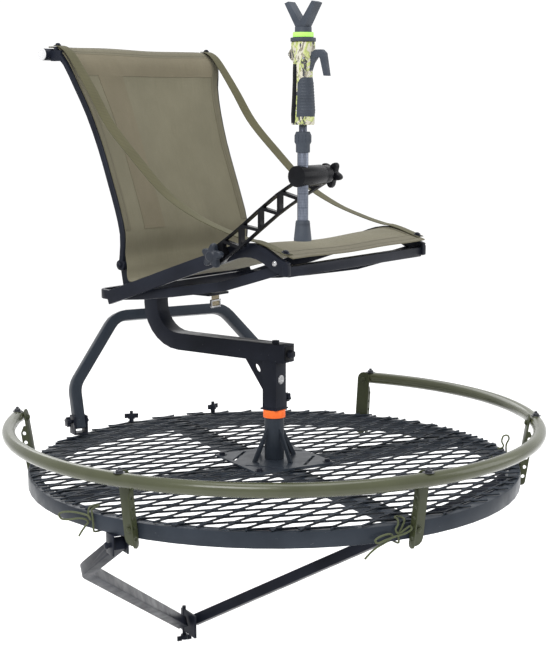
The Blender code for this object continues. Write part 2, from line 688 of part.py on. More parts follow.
def hinge_lug(side, word):
    """The lug that carries the back, with its pivot pin."""
    pivot_s, pivot_z = -BACK_PIVOT[1], BACK_PIVOT[2]
    outline = arc((pivot_s, pivot_z), 0.0115, -20, 200, 8) + [(pivot_s - 0.003, 0.3768), (pivot_s + 0.030, 0.3768)]
    inner = BACK_HALF - RAIL_THICK - GAP - 0.010
    lug = flat(f"hinge_lug_{word}", [(-s, z) for s, z in outline], [], 0.010,
               (side * (inner + 0.005), 0, 0), (math.pi / 2, 0, math.pi / 2))
    pin = rod(f"hinge_pin_{word}", (side * (inner + 0.002), BACK_PIVOT[1], pivot_z),
              (side * (BACK_HALF + 0.004), BACK_PIVOT[1], pivot_z), 0.0045)
    place(weld(as_mesh(lug), pin), SEAT, "frame_black")


def sling_and_straps():
    """The seat's half of the sling, and the webbing straps that stop the back."""
    top = [(-0.208, 0.3905), (-0.180, 0.3985), (-0.084, 0.4255), (0.0, 0.4545), (0.060, 0.4740), (0.105, 0.4880), (0.135, 0.4905),
           (0.165, 0.4850), (0.195, 0.4760), (0.2240, 0.4690)]
    line = [(0, -s, z) for s, z in top]
    width = 2 * (SEAT_HALF - RAIL_THICK - 0.0136)
    place(bar("seat_fabric", smooth(line, 1), width, 0.004), SEAT, "sling_fabric")
    strap = [(-0.384, 0.8810), (-0.354, 0.8755), (-0.328, 0.8480), (-0.289, 0.7930), (-0.243, 0.722), (-0.176, 0.655),
             (-0.092, 0.583), (-0.011, 0.540), (0.067, 0.514), (0.120, 0.5010), (0.140, 0.4990), (0.165, 0.4930)]
    for side, word in ((-1, "right"), (1, "left")):
        path = smooth(side_view(side * (SEAT_HALF - 0.014), strap), 2)
        place(bar(f"side_strap_{word}", path, 0.025, 0.0016), SEAT, "webbing")


# Points of a back rail: backwards as a negative number, height, and how far it stands in from the seat's side
BACK_CURVE = [(-0.2450, 0.4250, 0.042), (-0.2415, 0.4470, 0.042), (-0.2400, 0.4900, 0.042), (-0.2540, 0.5410, 0.043),
              (-0.2745, 0.6000, 0.043), (-0.2985, 0.6680, 0.042), (-0.3230, 0.7380, 0.034), (-0.3430, 0.7950, 0.020),
              (-0.3560, 0.8430, 0.002), (-0.3780, 0.8640, 0.000)]


def seat_back():
    """Curved side rails, the tube across their top and the back's half of the sling."""
    middle = SEAT_HALF - RAIL_THICK / 2
    for side, word in ((-1, "right"), (1, "left")):
        path = smooth([(side * (middle - inset), -s, z) for s, z, inset in BACK_CURVE], 2)
        rail = bar(f"back_rail_{word}", path, RAIL_THICK, 0.010)
        eye = rod(f"back_eye_{word}", (side * (BACK_HALF - RAIL_THICK), BACK_PIVOT[1], BACK_PIVOT[2]),
                  (side * BACK_HALF, BACK_PIVOT[1], BACK_PIVOT[2]), 0.0110, sides=16)
        bore = rod(f"back_bore_{word}", (side * 0.17, BACK_PIVOT[1], BACK_PIVOT[2]),
                   (side * 0.24, BACK_PIVOT[1], BACK_PIVOT[2]), 0.0049)
        hook = box(f"back_hook_{word}", (side * middle - RAIL_THICK / 2, 0.365, 0.848),
                   (side * middle + RAIL_THICK / 2, 0.394, 0.870))
        stud = rod(f"back_stud_{word}", (side * middle, 0.383, 0.865), (side * middle, 0.383, 0.8780), 0.0050, sides=8)
        place(cut(weld(rail, eye, hook, stud), bore), BACK, "frame_black")
    tube_radius = 0.0125
    y, z = 0.4070, 0.8620
    shell = turned("back_top_bar", [(tube_radius, 0.266), (tube_radius, -0.266), (0.0105, -0.266), (0.0105, 0.266)],
                   (0, y, z), steps=20, closed=True, along_x=True)
    place(shell, BACK, "frame_black")
    line = [(-0.2370, 0.4080, 0.042), (-0.2330, 0.4260, 0.042)] + BACK_CURVE[1:]
    edge = smooth([(SEAT_HALF - inset - RAIL_THICK - 0.0136, -s, z) for s, z, inset in line], 1)
    place(sheet("back_fabric", edge, 0.004), BACK, "sling_fabric")


def sheet(name, edge, thickness):
    """A cloth panel spanning between an edge line at +X and its mirror image at -X."""
    bm = bmesh.new()
    rings = []
    for index, point in enumerate(edge):
        before, after = edge[max(index - 1, 0)], edge[min(index + 1, len(edge) - 1)]
        along = Vector((0.0, after[1] - before[1], after[2] - before[2])).normalized()
        out = Vector((0.0, along.z, -along.y)) * thickness / 2
        x, y, z = point
        corners = [Vector((x, y, z)) + out, Vector((-x, y, z)) + out, Vector((-x, y, z)) - out, Vector((x, y, z)) - out]
        rings.append([bm.verts.new(corner) for corner in corners])
    for ring, following in zip(rings, rings[1:]):
        for corner in range(4):
            nearby = (corner + 1) % 4
            bm.faces.new((ring[corner], ring[nearby], following[nearby], following[corner]))
    bm.faces.new(rings[0][::-1])
    bm.faces.new(rings[-1])
    bmesh.ops.recalc_face_normals(bm, faces=bm.faces)
    return mesh_object(name, bm)


# Gun rest

def truss_arm():
    """The N-truss arm: chords along a shallow S, posts and diagonals, and a boss at each end."""
    thick, half_chord, chord = 0.0130, 0.0170, 0.0055
    start, end = (0.066, 0.470), (0.310, 0.632)
    spine = [start, (0.104, 0.4955), (0.130, 0.5140), (0.160, 0.5375), (0.209, 0.5735), (0.235, 0.5900),
             (0.2585, 0.6035), end]
    upper, lower = [], []
    for index, (s, z) in enumerate(spine):
        before, after = spine[max(index - 1, 0)], spine[min(index + 1, len(spine) - 1)]
        slope = math.atan2(after[1] - before[1], after[0] - before[0])
        rise = half_chord / math.cos(slope)
        upper.append(Vector((s, z + rise)))
        lower.append(Vector((s, z - rise)))
    first = math.degrees(math.atan2(spine[1][1] - start[1], spine[1][0] - start[0]))
    last = math.degrees(math.atan2(end[1] - spine[-2][1], end[0] - spine[-2][0]))
    near_boss = arc(start, half_chord, first + 90, first + 270, 10)
    far_boss = arc(end, half_chord, last - 90, last + 90, 10)
    outline = near_boss + [tuple(p) for p in lower[1:-1]] + far_boss + [tuple(p) for p in upper[-2:0:-1]]

    def chord_at(points, s):
        for low, high in zip(points, points[1:]):
            if s <= high.x:
                return low.lerp(high, (s - low.x) / (high.x - low.x))
        return points[-1]

    holes = []
    posts = (0.0785, 0.1235, 0.1700, 0.2150, 0.2620, 0.2965)
    for near, far in zip(posts, posts[1:]):
        top_a, top_b = chord_at(upper, near), chord_at(upper, far)
        low_a, low_b = chord_at(lower, near), chord_at(lower, far)
        for triangle in ((top_a, top_b, low_b), (top_a, low_b, low_a)):
            hole = inset(list(triangle), chord * 0.56)
            if enclosed([tuple(corner) for corner in hole]) > 0.00003:
                holes.append([tuple(corner) for corner in hole])
    plate = as_mesh(flat("rest_arm", [(-s, z) for s, z in outline], [[(-s, z) for s, z in hole] for hole in holes], thick,
                 (REST_PIVOT[0] - 0.0035, 0, 0), (math.pi / 2, 0, math.pi / 2)))
    x = REST_PIVOT[0]
    discs = [rod(f"boss_{s}", (x - 0.010, -s, z), (x + 0.010, -s, z), half_chord, sides=24) for s, z in (start, end)]
    bores = [rod(f"bore_{s}", (x - 0.02, -s, z), (x + 0.02, -s, z), radius, sides=16)
             for (s, z), radius in ((start, 0.0056), (end, 0.0066))]
    thing = cut(weld(plate, *discs), *bores)
    place(thing, REST, "black_plastic")


def inset(triangle, margin):
    """A triangle drawn in from its sides by the margin."""
    a, b, c = triangle
    sides = [(b - c).length, (c - a).length, (a - b).length]
    perimeter = sum(sides)
    centre = (a * sides[0] + b * sides[1] + c * sides[2]) / perimeter
    area = abs((b.x - a.x) * (c.y - a.y) - (b.y - a.y) * (c.x - a.x)) / 2
    inner_radius = 2 * area / perimeter
    keep = (inner_radius - margin) / inner_radius
    return [tuple(centre + (corner - centre) * keep) for corner in triangle]


def rest_hardware():
    """The star knobs, and the barrel clamp that holds the stick."""
    knob = knob_bolt("rest_knob", 0.0050, 0.0400, 0.0215, 0.014)
    x, y, z = REST_PIVOT
    knob.matrix_world = Matrix.Translation((x - 0.0106, y, z)) @ Matrix.Rotation(-math.pi / 2, 4, "Y")
    place(knob, REST, "black_plastic")
    x, y, z = CLAMP_CENTRE
    near, far = x - 0.0103, x + 0.0103
    barrel = rod("rest_clamp_barrel", (near, y, z), (-0.3495, y, z), 0.0190, sides=24)
    passage = rod("stick_passage", (STICK[0], STICK[1], z - 0.05), (STICK[0], STICK[1], z + 0.05), 0.0103, sides=20)
    thread = rod("clamp_thread", (near + 0.01, y, z), (near - 0.0160, y, z), 0.0063, sides=12)
    place(cut(barrel, passage, thread), CLAMP, "black_plastic")
    knob = knob_bolt("clamp_knob", 0.0058, 0.0355, 0.0215, 0.014)
    knob.matrix_world = Matrix.Translation((far + 0.0003, y, z)) @ Matrix.Rotation(math.pi / 2, 4, "Y")
    place(knob, REST, "black_plastic")


def shooting_stick():
    """Foot, telescoping tubes, twist collar, pistol grip with its trigger, and the swivelling yoke."""
    x, y = STICK
    at = (x, y, 0)
    lower = [(0.0100, 0.6835), (0.0100, 0.5365), (0.0079, 0.5365), (0.0079, 0.6835)]
    place(turned("stick_lower_tube", lower, at, steps=20, closed=True), STICK_LOWER, "alloy")
    foot = [(0.0, 0.5360), (0.0103, 0.5360), (0.0103, 0.5525), (0.0125, 0.5525), (0.0160, 0.5200),
            (0.0160, 0.5160), (0.0, 0.5160)]
    place(turned("stick_foot", foot, at, steps=20), STICK_LOWER, "rubber")
    collar = [(0.0125, 0.7110), (0.0146, 0.7060), (0.0146, 0.6910), (0.0128, 0.6880), (0.0128, 0.6740),
              (0.0103, 0.6740), (0.0103, 0.6840), (0.0077, 0.6840), (0.0077, 0.7110)]
    place(turned("stick_collar", collar, at, steps=16, closed=True), STICK_LOWER, "rubber")
    place(rod("stick_upper_tube", (x, y, 0.5600), (x, y, 0.7227), 0.0073, sides=20), STICK_UPPER, "alloy")
    grip = [(0.0, 0.8680), (0.0190, 0.8680), (0.0225, 0.8600), (0.0215, 0.8400), (0.0165, 0.8200), (0.0165, 0.8000),
            (0.0190, 0.7600), (0.0205, 0.7300), (0.0200, 0.7230), (0.0, 0.7230)]
    body = as_mesh(turned("stick_grip", grip, at, steps=18))
    side = STICK[1]
    slot = box("trigger_slot", (x - 0.0062, side - 0.040, 0.811), (x + 0.0062, side - 0.0025, 0.862))
    pin_y, pin_z = TRIGGER_PIVOT[1:]
    pin = rod("trigger_pin", (x - 0.010, pin_y, pin_z), (x + 0.010, pin_y, pin_z), 0.0022, sides=8)
    place(weld(cut(body, slot), pin), STICK_UPPER, "grip")
    flange = [(0.0, 0.8750), (0.0227, 0.8750), (0.0227, 0.8683), (0.0, 0.8683)]
    place(turned("grip_flange", flange, at, steps=24), STICK_UPPER, "rubber")
    lever()
    neck = [(0.0, 0.8935), (0.0150, 0.8935), (0.0150, 0.8850), (0.0180, 0.8845), (0.0180, 0.8757), (0.0, 0.8757)]
    base = as_mesh(turned("rest_yoke", neck, at, steps=24))
    horn = [(-0.009, 0.0), (0.009, 0.0), (0.033, 0.0425), (0.0245, 0.0455), (0.0, 0.010), (-0.0245, 0.0455), (-0.033, 0.0425)]
    fork = as_mesh(flat("yoke_fork", horn, [], 0.022, (x, y, 0.8925), (math.pi / 2, 0, math.radians(-88))))
    place(weld(base, fork), STICK_UPPER, "rubber")


def lever():
    """The trigger that hooks out of the grip and down in front of it."""
    s, z = -TRIGGER_PIVOT[1], TRIGGER_PIVOT[2]
    inner = -STICK[1]
    shape = [(0.0105, 0.8190), (0.0175, 0.8170), (0.0225, 0.8300), (0.0300, 0.8400), (0.0385, 0.8400),
             (0.0470, 0.8085), (0.0560, 0.8080), (0.0490, 0.8480), (0.0420, 0.8540), (0.0290, 0.8540),
             (0.0180, 0.8480), (0.0110, 0.8400)]
    outline = [(inner + reach, height) for reach, height in shape]
    bore = arc((s, z), 0.0026, 0, 360, 8)[:-1]
    thing = flat("stick_trigger", [(-a, b) for a, b in outline], [[(-a, b) for a, b in bore]], 0.0100,
                 (TRIGGER_PIVOT[0], 0, 0), (math.pi / 2, 0, math.pi / 2))
    place(thing, TRIGGER, "rubber")


rim_ring()
deck_mesh()
spokes()
post()
guard_rail()
folding_arch()
rear_wing_bolts()
lower_brace()
tie_cords()
swivel()
seat_frame()
sling_and_straps()
seat_back()
truss_arm()
rest_hardware()
shooting_stick()
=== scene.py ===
import math

import bmesh
import bpy
from mathutils import Matrix, Vector


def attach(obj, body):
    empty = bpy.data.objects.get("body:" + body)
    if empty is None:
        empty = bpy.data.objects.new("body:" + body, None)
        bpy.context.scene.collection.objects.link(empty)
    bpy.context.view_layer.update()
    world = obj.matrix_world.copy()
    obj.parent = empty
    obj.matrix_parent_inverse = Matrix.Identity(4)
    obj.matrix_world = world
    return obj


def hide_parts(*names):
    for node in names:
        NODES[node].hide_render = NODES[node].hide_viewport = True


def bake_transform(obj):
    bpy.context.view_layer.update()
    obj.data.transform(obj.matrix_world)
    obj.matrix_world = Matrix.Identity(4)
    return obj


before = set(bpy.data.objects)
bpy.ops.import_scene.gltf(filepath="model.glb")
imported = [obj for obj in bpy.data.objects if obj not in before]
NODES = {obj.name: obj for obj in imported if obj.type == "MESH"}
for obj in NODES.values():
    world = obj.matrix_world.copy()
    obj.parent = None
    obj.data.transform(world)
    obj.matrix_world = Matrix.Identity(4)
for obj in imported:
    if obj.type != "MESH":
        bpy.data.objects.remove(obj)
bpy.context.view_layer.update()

# Frames: the deck's middle, the seat turned on the post, and the shooting stick beside the seat
DECK_RADIUS = 0.525
DECK = Matrix.Translation((0, -DECK_RADIUS, 0))
SEAT = DECK @ Matrix.Rotation(math.radians(23.38), 4, "Z")
STICK = SEAT @ Matrix.Translation((-0.330, -0.310, 0))

# Half widths over the rails: the seat's, and the narrower back's at its pivots
SEAT_HALF = 0.254
BACK_HALF = 0.212
SEAT_RAIL_THICK = 0.012

# Guard rail: angles in degrees about the deck's middle, from +X
GUARD_RADIUS = 0.562
GUARD_TUBE = 0.0138
GUARD_Z = 0.084
BRACKETS = (144.0, 210.0, 270.0, 330.0, 396.0)
GUARD_ENDS = (BRACKETS[0], BRACKETS[-1])
BRACKET_LEAN = math.radians(8.8)


# Camera: the photograph's viewing angle, solved from the rim, the post and the seat's rails

camera = bpy.data.objects.new("camera", bpy.data.cameras.new("camera"))
bpy.context.scene.collection.objects.link(camera)
camera.location = (-1.525, -3.176, 0.7606)
camera.rotation_euler = Vector((0.4944, 0.8563, -0.1494)).to_track_quat("-Z", "Y").to_euler()
camera.data.lens = 81.0
camera.data.sensor_fit = "VERTICAL"
camera.data.sensor_height = 36.0
camera.data.clip_end = 60
bpy.context.scene.camera = camera


# Materials

class Graph:
    """A material's nodes, built on its Principled shader. Coordinates are in metres."""

    def __init__(self, name, roughness=0.5, metallic=0.0, coordinates="Object", **sockets):
        self.material = bpy.data.materials.new(name)
        self.material.use_nodes = True
        self.tree = self.material.node_tree
        self.shader = self.tree.nodes["Principled BSDF"]
        self.place = self.node("ShaderNodeTexCoord").outputs[coordinates]
        self.shader.inputs["Roughness"].default_value = roughness
        self.shader.inputs["Metallic"].default_value = metallic
        for socket, value in sockets.items():
            self.shader.inputs[socket.replace("_", " ")].default_value = value

    def node(self, kind, inputs=None, **settings):
        made = self.tree.nodes.new(kind)
        for key, value in settings.items():
            setattr(made, key, value)
        for key, value in (inputs or {}).items():
            if isinstance(value, bpy.types.NodeSocket):
                self.tree.links.new(value, made.inputs[key])
            else:
                made.inputs[key].default_value = value
        return made

    def noise(self, scale, detail, rough=0.55, stretch=None, distortion=0.0):
        where = self.place
        if stretch:
            where = self.node("ShaderNodeMapping", {"Vector": where, "Scale": stretch}).outputs[0]
        made = self.node("ShaderNodeTexNoise", {"Vector": where, "Scale": scale, "Detail": detail,
                                                "Roughness": rough, "Distortion": distortion})
        return made.outputs["Fac"]

    def wave(self, scale, direction):
        made = self.node("ShaderNodeTexWave", {"Vector": self.place, "Scale": scale, "Detail": 0.0},
                         bands_direction=direction)
        return made.outputs["Fac"]

    def math(self, operation, first, second=0.5):
        return self.node("ShaderNodeMath", {0: first, 1: second}, operation=operation).outputs[0]

    def ramp(self, value, stops, smooth=True):
        """Colours or greys by value: stops are (position, colour) in rising order."""
        made = self.node("ShaderNodeValToRGB", {"Fac": value})
        made.color_ramp.interpolation = "LINEAR" if smooth else "CONSTANT"
        elements = made.color_ramp.elements
        while len(elements) < len(stops):
            elements.new(0.5)
        for element, (position, colour) in zip(elements, stops):
            element.position = position
            element.color = (*(colour if hasattr(colour, "__len__") else (colour,) * 3), 1.0)
        return made.outputs["Color"]

    def spread(self, value, low, high):
        """A ramp over the range that a noise really covers."""
        return self.ramp(value, [(0.3, low), (0.7, high)])

    def mix(self, factor, first, second, blend="MIX"):
        made = self.node("ShaderNodeMix", data_type="RGBA", blend_type=blend)
        for socket, value in ((made.inputs[0], factor), (made.inputs[6], first), (made.inputs[7], second)):
            if isinstance(value, bpy.types.NodeSocket):
                self.tree.links.new(value, socket)
            elif hasattr(value, "__len__"):
                socket.default_value = (*value, 1.0)
            else:
                socket.default_value = value
        return made.outputs[2]

    def finish(self, colour, rough=None, height=None, depth=0.0002, strength=1.0):
        """Links the colour, the roughness and the bump's height to the shader."""
        self.tree.links.new(colour, self.shader.inputs["Base Color"])
        if rough is not None:
            self.tree.links.new(rough, self.shader.inputs["Roughness"])
        if height is not None:
            bump = self.node("ShaderNodeBump", {"Height": height, "Distance": depth, "Strength": strength})
            self.tree.links.new(bump.outputs[0], self.shader.inputs["Normal"])
        return self.material


# Bump depths, the grey of rubbed paint, and the period of a wave texture at scale 1, in metres
FINE_BUMP = 0.00012
DRAWN_BUMP = 0.00004
RUBBED_GREY = (0.16, 0.16, 0.17)
WAVE_PERIOD = 0.314


def painted(name, dark, light, rough=(0.28, 0.44), coat=0.0, chips=0.72, specular=0.09):
    """Powder coat: a fine orange peel, slow tone changes and a few rubbed specks."""
    g = Graph(name, Coat_Weight=coat, Coat_Roughness=0.12, Specular_IOR_Level=specular)
    tone = g.spread(g.noise(9.0, 4), dark, light)
    specks = g.ramp(g.noise(240.0, 2, 0.7), [(chips, 0.0), (chips + 0.02, 1.0)])
    patches = g.ramp(g.noise(14.0, 2), [(0.58, 0.0), (0.70, 0.7)])
    tone = g.mix(g.math("MULTIPLY", specks, patches), tone, RUBBED_GREY)
    return g.finish(tone, g.spread(g.noise(30.0, 3), *rough), g.noise(700.0, 2), FINE_BUMP, 0.6)


def woven(name, dark, light, pitch, ribs=False, sheen=0.05):
    """Cloth on UVs in metres: warp and weft threads, or the cross ribs of webbing."""
    g = Graph(name, roughness=0.9, coordinates="UV", Sheen_Weight=sheen, Sheen_Roughness=0.5)
    scale = WAVE_PERIOD / pitch
    warp, weft = g.wave(scale, "X"), g.wave(scale * (0.5 if ribs else 1.0), "Y")
    warp_share, weft_share = (0.35, 0.65) if ribs else (0.5, 0.5)
    threads = g.math("ADD", g.math("MULTIPLY", warp, warp_share), g.math("MULTIPLY", weft, weft_share))
    tone = g.spread(g.noise(7.0, 5, 0.6), dark, light)
    fine = g.ramp(threads, [(0.0, 0.72), (1.0, 1.12)])
    streaks = g.spread(g.noise(60.0, 2, 0.5, stretch=(8.0, 0.35, 1.0)), 0.93, 1.05)
    tone = g.mix(1.0, g.mix(1.0, tone, fine, "MULTIPLY"), streaks, "MULTIPLY")
    return g.finish(tone, None, threads, pitch * 0.3, 0.7)


def moulded(name, dark, light, rough=(0.38, 0.55), grain=900.0, depth=FINE_BUMP, specular=0.35):
    """Moulded plastic or rubber with a fine spark-eroded grain."""
    g = Graph(name, Specular_IOR_Level=specular)
    tone = g.spread(g.noise(25.0, 4), dark, light)
    return g.finish(tone, g.spread(g.noise(45.0, 3), *rough), g.noise(grain, 2), depth, 0.6)


def metal(name, dark, light, rough=(0.22, 0.36), stretch=(1.0, 1.0, 14.0), metallic=1.0):
    """Bare or anodised metal with a drawn grain."""
    g = Graph(name, metallic=metallic)
    grain = g.noise(120.0, 3, stretch=stretch)
    return g.finish(g.spread(grain, dark, light), g.spread(grain, *rough), grain, DRAWN_BUMP, 0.5)


def graduated(name):
    """Blue-grey anodised tube with a scale of dark ticks along its height."""
    g = Graph(name, metallic=0.85)
    grain = g.noise(160.0, 3, stretch=(6.0, 6.0, 0.6))
    tone = g.spread(grain, (0.095, 0.108, 0.140), (0.165, 0.182, 0.225))
    height = g.node("ShaderNodeSeparateXYZ", {0: g.place}).outputs[2]

    def ticks(per_metre, share):
        return g.math("LESS_THAN", g.math("FRACT", g.math("MULTIPLY", height, per_metre)), share)

    mark = g.math("MAXIMUM", g.math("MULTIPLY", ticks(200.0, 0.2), 0.45), ticks(40.0, 0.07))
    tone = g.mix(g.math("MULTIPLY", mark, 0.6), tone, (0.05, 0.06, 0.08))
    return g.finish(tone, g.spread(grain, 0.25, 0.4), grain, DRAWN_BUMP, 0.4)


def camouflage(name):
    """Pale, olive and near-black blotches, all of them noise."""
    g = Graph(name, roughness=0.6)
    field = g.noise(30.0, 4, 0.65, stretch=(1.0, 1.0, 0.75), distortion=0.9)
    second = g.noise(38.0, 4, 0.65, stretch=(1.0, 1.0, 0.6), distortion=1.4)
    third = g.noise(90.0, 3, 0.6, distortion=1.0)
    pale = g.ramp(field, [(0.0, (0.44, 0.42, 0.34)), (0.43, (0.30, 0.34, 0.11)), (0.485, (0.42, 0.46, 0.18)),
                          (0.53, (0.48, 0.46, 0.38)), (0.60, (0.17, 0.16, 0.11))], smooth=False)
    pale = g.mix(g.ramp(third, [(0.0, 0.0), (0.57, 0.75)], smooth=False), pale, (0.16, 0.14, 0.10))
    dark = g.ramp(second, [(0.0, 0.0), (0.555, 1.0)], smooth=False)
    tone = g.mix(dark, pale, (0.030, 0.030, 0.034))
    return g.finish(tone, None, g.noise(600.0, 2), 0.0002, 0.5)


NO_STRETCH = (1.0, 1.0, 1.0)
LOOKS = {
    "frame_black": painted("hammered_black", (0.0065, 0.0078, 0.0120), (0.0135, 0.0158, 0.0240)),
    # painted sheen: the frame's black paint made lighter and bluer, standing in for the sheen on the deck,
    # its rim, spokes, post, base plate and the arch
    "deck_black_painted_sheen": painted("deck_black_painted_sheen", (0.0150, 0.0195, 0.0270), (0.0270, 0.0335, 0.0440), chips=0.70,
                          specular=0.14),
    "olive_metal": painted("olive_gloss", (0.039, 0.043, 0.020), (0.056, 0.061, 0.031), (0.16, 0.26),
                           coat=0.12, chips=0.76, specular=0.35),
    "bracket_olive": painted("olive_bracket", (0.026, 0.031, 0.014), (0.042, 0.048, 0.023), (0.30, 0.42),
                             chips=0.74, specular=0.2),
    "sling_fabric": woven("sling_cloth", (0.100, 0.091, 0.055), (0.129, 0.118, 0.075), 0.0016),
    "hem": woven("sling_hem", (0.086, 0.077, 0.046), (0.108, 0.097, 0.060), 0.0016),
    "facing": woven("sling_facing", (0.098, 0.084, 0.049), (0.126, 0.108, 0.067), 0.0016),
    "webbing": woven("olive_webbing", (0.047, 0.043, 0.016), (0.066, 0.061, 0.025), 0.0018, ribs=True),
    "thread": woven("sewing_thread", (0.050, 0.045, 0.029), (0.066, 0.060, 0.039), 0.0008, sheen=0.1),
    "ring_orange": moulded("orange_ring", (0.80, 0.115, 0.012), (0.92, 0.165, 0.022)),
    "alloy": metal("blue_grey_alloy", (0.050, 0.056, 0.076), (0.095, 0.103, 0.128), metallic=0.85),
    "scale": graduated("graduated_alloy"),
    "zinc": metal("zinc_plate", (0.30, 0.30, 0.31), (0.48, 0.48, 0.49), (0.2, 0.34), NO_STRETCH),
    "black_bolt": metal("black_bolt", (0.020, 0.022, 0.028), (0.050, 0.053, 0.060), (0.25, 0.4), NO_STRETCH,
                        0.5),
    "black_plastic": moulded("black_nylon", (0.0040, 0.0042, 0.0052), (0.0090, 0.0094, 0.0112), (0.18, 0.30),
                             specular=0.08),
    "knob_slate": moulded("slate_nylon", (0.0100, 0.0130, 0.0200), (0.0200, 0.0250, 0.0350), (0.30, 0.45),
                          specular=0.25),
    "rubber": moulded("slate_rubber", (0.020, 0.026, 0.037), (0.038, 0.047, 0.062), (0.5, 0.68),
                      grain=700.0, depth=0.0003),
    "grip": camouflage("camouflage_grip"),
    "ring_green": moulded("green_ring", (0.34, 0.72, 0.10), (0.42, 0.86, 0.16)),
    "tie_cord": woven("tie_twist", (0.050, 0.062, 0.024), (0.095, 0.110, 0.048), 0.0016),
    "tan": woven("tan_webbing", (0.30, 0.25, 0.16), (0.42, 0.36, 0.25), 0.0018, ribs=True),
    "hollow": moulded("tube_inside", (0.50, 0.50, 0.51), (0.66, 0.66, 0.67)),
}


# Carried-over CAD nodes: welded, given rolled edges and their own finish

# An edge sharper than these is shaded sharp, or gets a bevel
SHADE_ANGLE = math.radians(34)
BEVEL_ANGLE = math.radians(38)
WELD_DISTANCE = 0.00002


def smooth_group():
    """Geometry nodes that shade smooth across shallow edges only."""
    tree = bpy.data.node_groups.new("smooth_by_angle", "GeometryNodeTree")
    tree.interface.new_socket("Geometry", in_out="INPUT", socket_type="NodeSocketGeometry")
    tree.interface.new_socket("Geometry", in_out="OUTPUT", socket_type="NodeSocketGeometry")
    start = tree.nodes.new("NodeGroupInput")
    end = tree.nodes.new("NodeGroupOutput")
    angle = tree.nodes.new("GeometryNodeInputMeshEdgeAngle")
    compare = tree.nodes.new("FunctionNodeCompare")
    compare.operation = "GREATER_THAN"
    compare.inputs[1].default_value = SHADE_ANGLE
    faces = tree.nodes.new("GeometryNodeSetShadeSmooth")
    faces.domain = "FACE"
    edges = tree.nodes.new("GeometryNodeSetShadeSmooth")
    edges.domain = "EDGE"
    edges.inputs["Shade Smooth"].default_value = False
    link = tree.links.new
    link(start.outputs[0], faces.inputs["Geometry"])
    link(faces.outputs[0], edges.inputs["Geometry"])
    link(angle.outputs["Unsigned Angle"], compare.inputs[0])
    link(compare.outputs[0], edges.inputs["Selection"])
    link(edges.outputs[0], end.inputs[0])
    return tree


SMOOTH = smooth_group()


def soften(thing, bevel):
    """Welds, rounds the sharp edges and shades a mesh."""
    weld = thing.modifiers.new("weld", "WELD")
    weld.merge_threshold = WELD_DISTANCE
    if bevel:
        edge = thing.modifiers.new("edges", "BEVEL")
        edge.width = bevel
        edge.segments = 2
        edge.limit_method = "ANGLE"
        edge.angle_limit = BEVEL_ANGLE
        edge.use_clamp_overlap = True
    shade = thing.modifiers.new("shade", "NODES")
    shade.node_group = SMOOTH


# (look, bevel width, nodes)
NODE_LOOKS = [
    ("frame_black", 0.0028, ["brace_arm_left", "brace_arm_right", "swivel_arm"]),
    ("deck_black_painted_sheen", 0.0028, ["arch_tube"]),
    ("frame_black", 0.0016, ["swivel_sleeve", "seat_rail_left", "seat_rail_right", "seat_lower_bar",
                             "seat_cross_bar", "seat_front_bar", "back_rail_left", "back_rail_right"]),
    ("deck_black_painted_sheen", 0.0016, ["rim_ring", "deck_spokes"]),
    ("deck_black_painted_sheen", 0.0008, ["post_tube"]),
    ("frame_black", 0.0008, ["arm_gusset", "saddle_plate", "hinge_lug_left", "hinge_lug_right",
                             "arch_clevis_left", "arch_clevis_right", "brace_clevis_left",
                             "brace_clevis_right", "brace_apex_plate", "wing_bolt_left", "wing_bolt_right",
                             "apex_wing_nut", "arch_knob_left", "arch_knob_right", "back_top_bar"]),
    ("deck_black_painted_sheen", 0.0, ["deck_mesh", "base_plate"]),
    ("bracket_olive", 0.0008, [f"rail_bracket_{number + 1}" for number in range(len(BRACKETS))]),
    ("ring_orange", 0.0008, ["swivel_bushing"]),
    ("alloy", 0.0005, ["swivel_spindle", "stick_upper_tube"]),
    ("scale", 0.0004, ["stick_lower_tube"]),
    ("black_plastic", 0.0011, ["rest_arm", "rest_clamp_barrel"]),
    ("black_plastic", 0.0012, ["rest_knob", "clamp_knob"]),
    ("rubber", 0.0008, ["stick_foot", "stick_collar", "stick_trigger", "grip_flange"]),
    ("rubber", 0.0012, ["rest_yoke"]),
]
for look, bevel, names in NODE_LOOKS:
    for name in names:
        node = NODES[name]
        node.data.materials.clear()
        node.data.materials.append(LOOKS[look])
        if "custom_normal" in node.data.attributes:
            node.data.attributes.remove(node.data.attributes["custom_normal"])
        soften(node, bevel)


# Piece makers

def piece(name, bm, look, body, matrix=SEAT, bevel=0.0, thickness=0.0, offset=0.0):
    """A finished mesh piece from a bmesh in a local frame. A thickness makes a sheet of it a solid."""
    bmesh.ops.recalc_face_normals(bm, faces=bm.faces)
    bm.transform(matrix)
    mesh = bpy.data.meshes.new(name)
    bm.to_mesh(mesh)
    bm.free()
    thing = bpy.data.objects.new(name, mesh)
    bpy.context.scene.collection.objects.link(thing)
    mesh.materials.append(LOOKS[look])
    if thickness:
        solid = thing.modifiers.new("thickness", "SOLIDIFY")
        solid.thickness = thickness
        solid.offset = offset
    soften(thing, bevel)
    if body:
        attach(thing, body)
    return thing


def ring_sides(bm, rings):
    """Faces between closed rings of equal size, each ring to the next."""
    for low, high in zip(rings, rings[1:]):
        for n, after in zip(range(len(low)), [*range(1, len(low)), 0]):
            bm.faces.new((low[n], low[after], high[after], high[n]))


def grid_faces(bm, points, uv_at=None):
    """Faces over rows of points, with UVs if uv_at gives them by row and column."""
    layer = bm.loops.layers.uv.new("UVMap") if uv_at else None
    verts = [[bm.verts.new(point) for point in row] for row in points]
    for row in range(len(points) - 1):
        for column in range(len(points[0]) - 1):
            spots = ((row, column), (row, column + 1), (row + 1, column + 1), (row + 1, column))
            face = bm.faces.new([verts[r][c] for r, c in spots])
            if uv_at:
                for loop, spot in zip(face.loops, spots):
                    loop[layer].uv = uv_at(*spot)


def flat_uvs(bm):
    """UVs in metres, looking along the local Y."""
    layer = bm.loops.layers.uv.new("UVMap")
    for face in bm.faces:
        for loop in face.loops:
            loop[layer].uv = loop.vert.co.xz


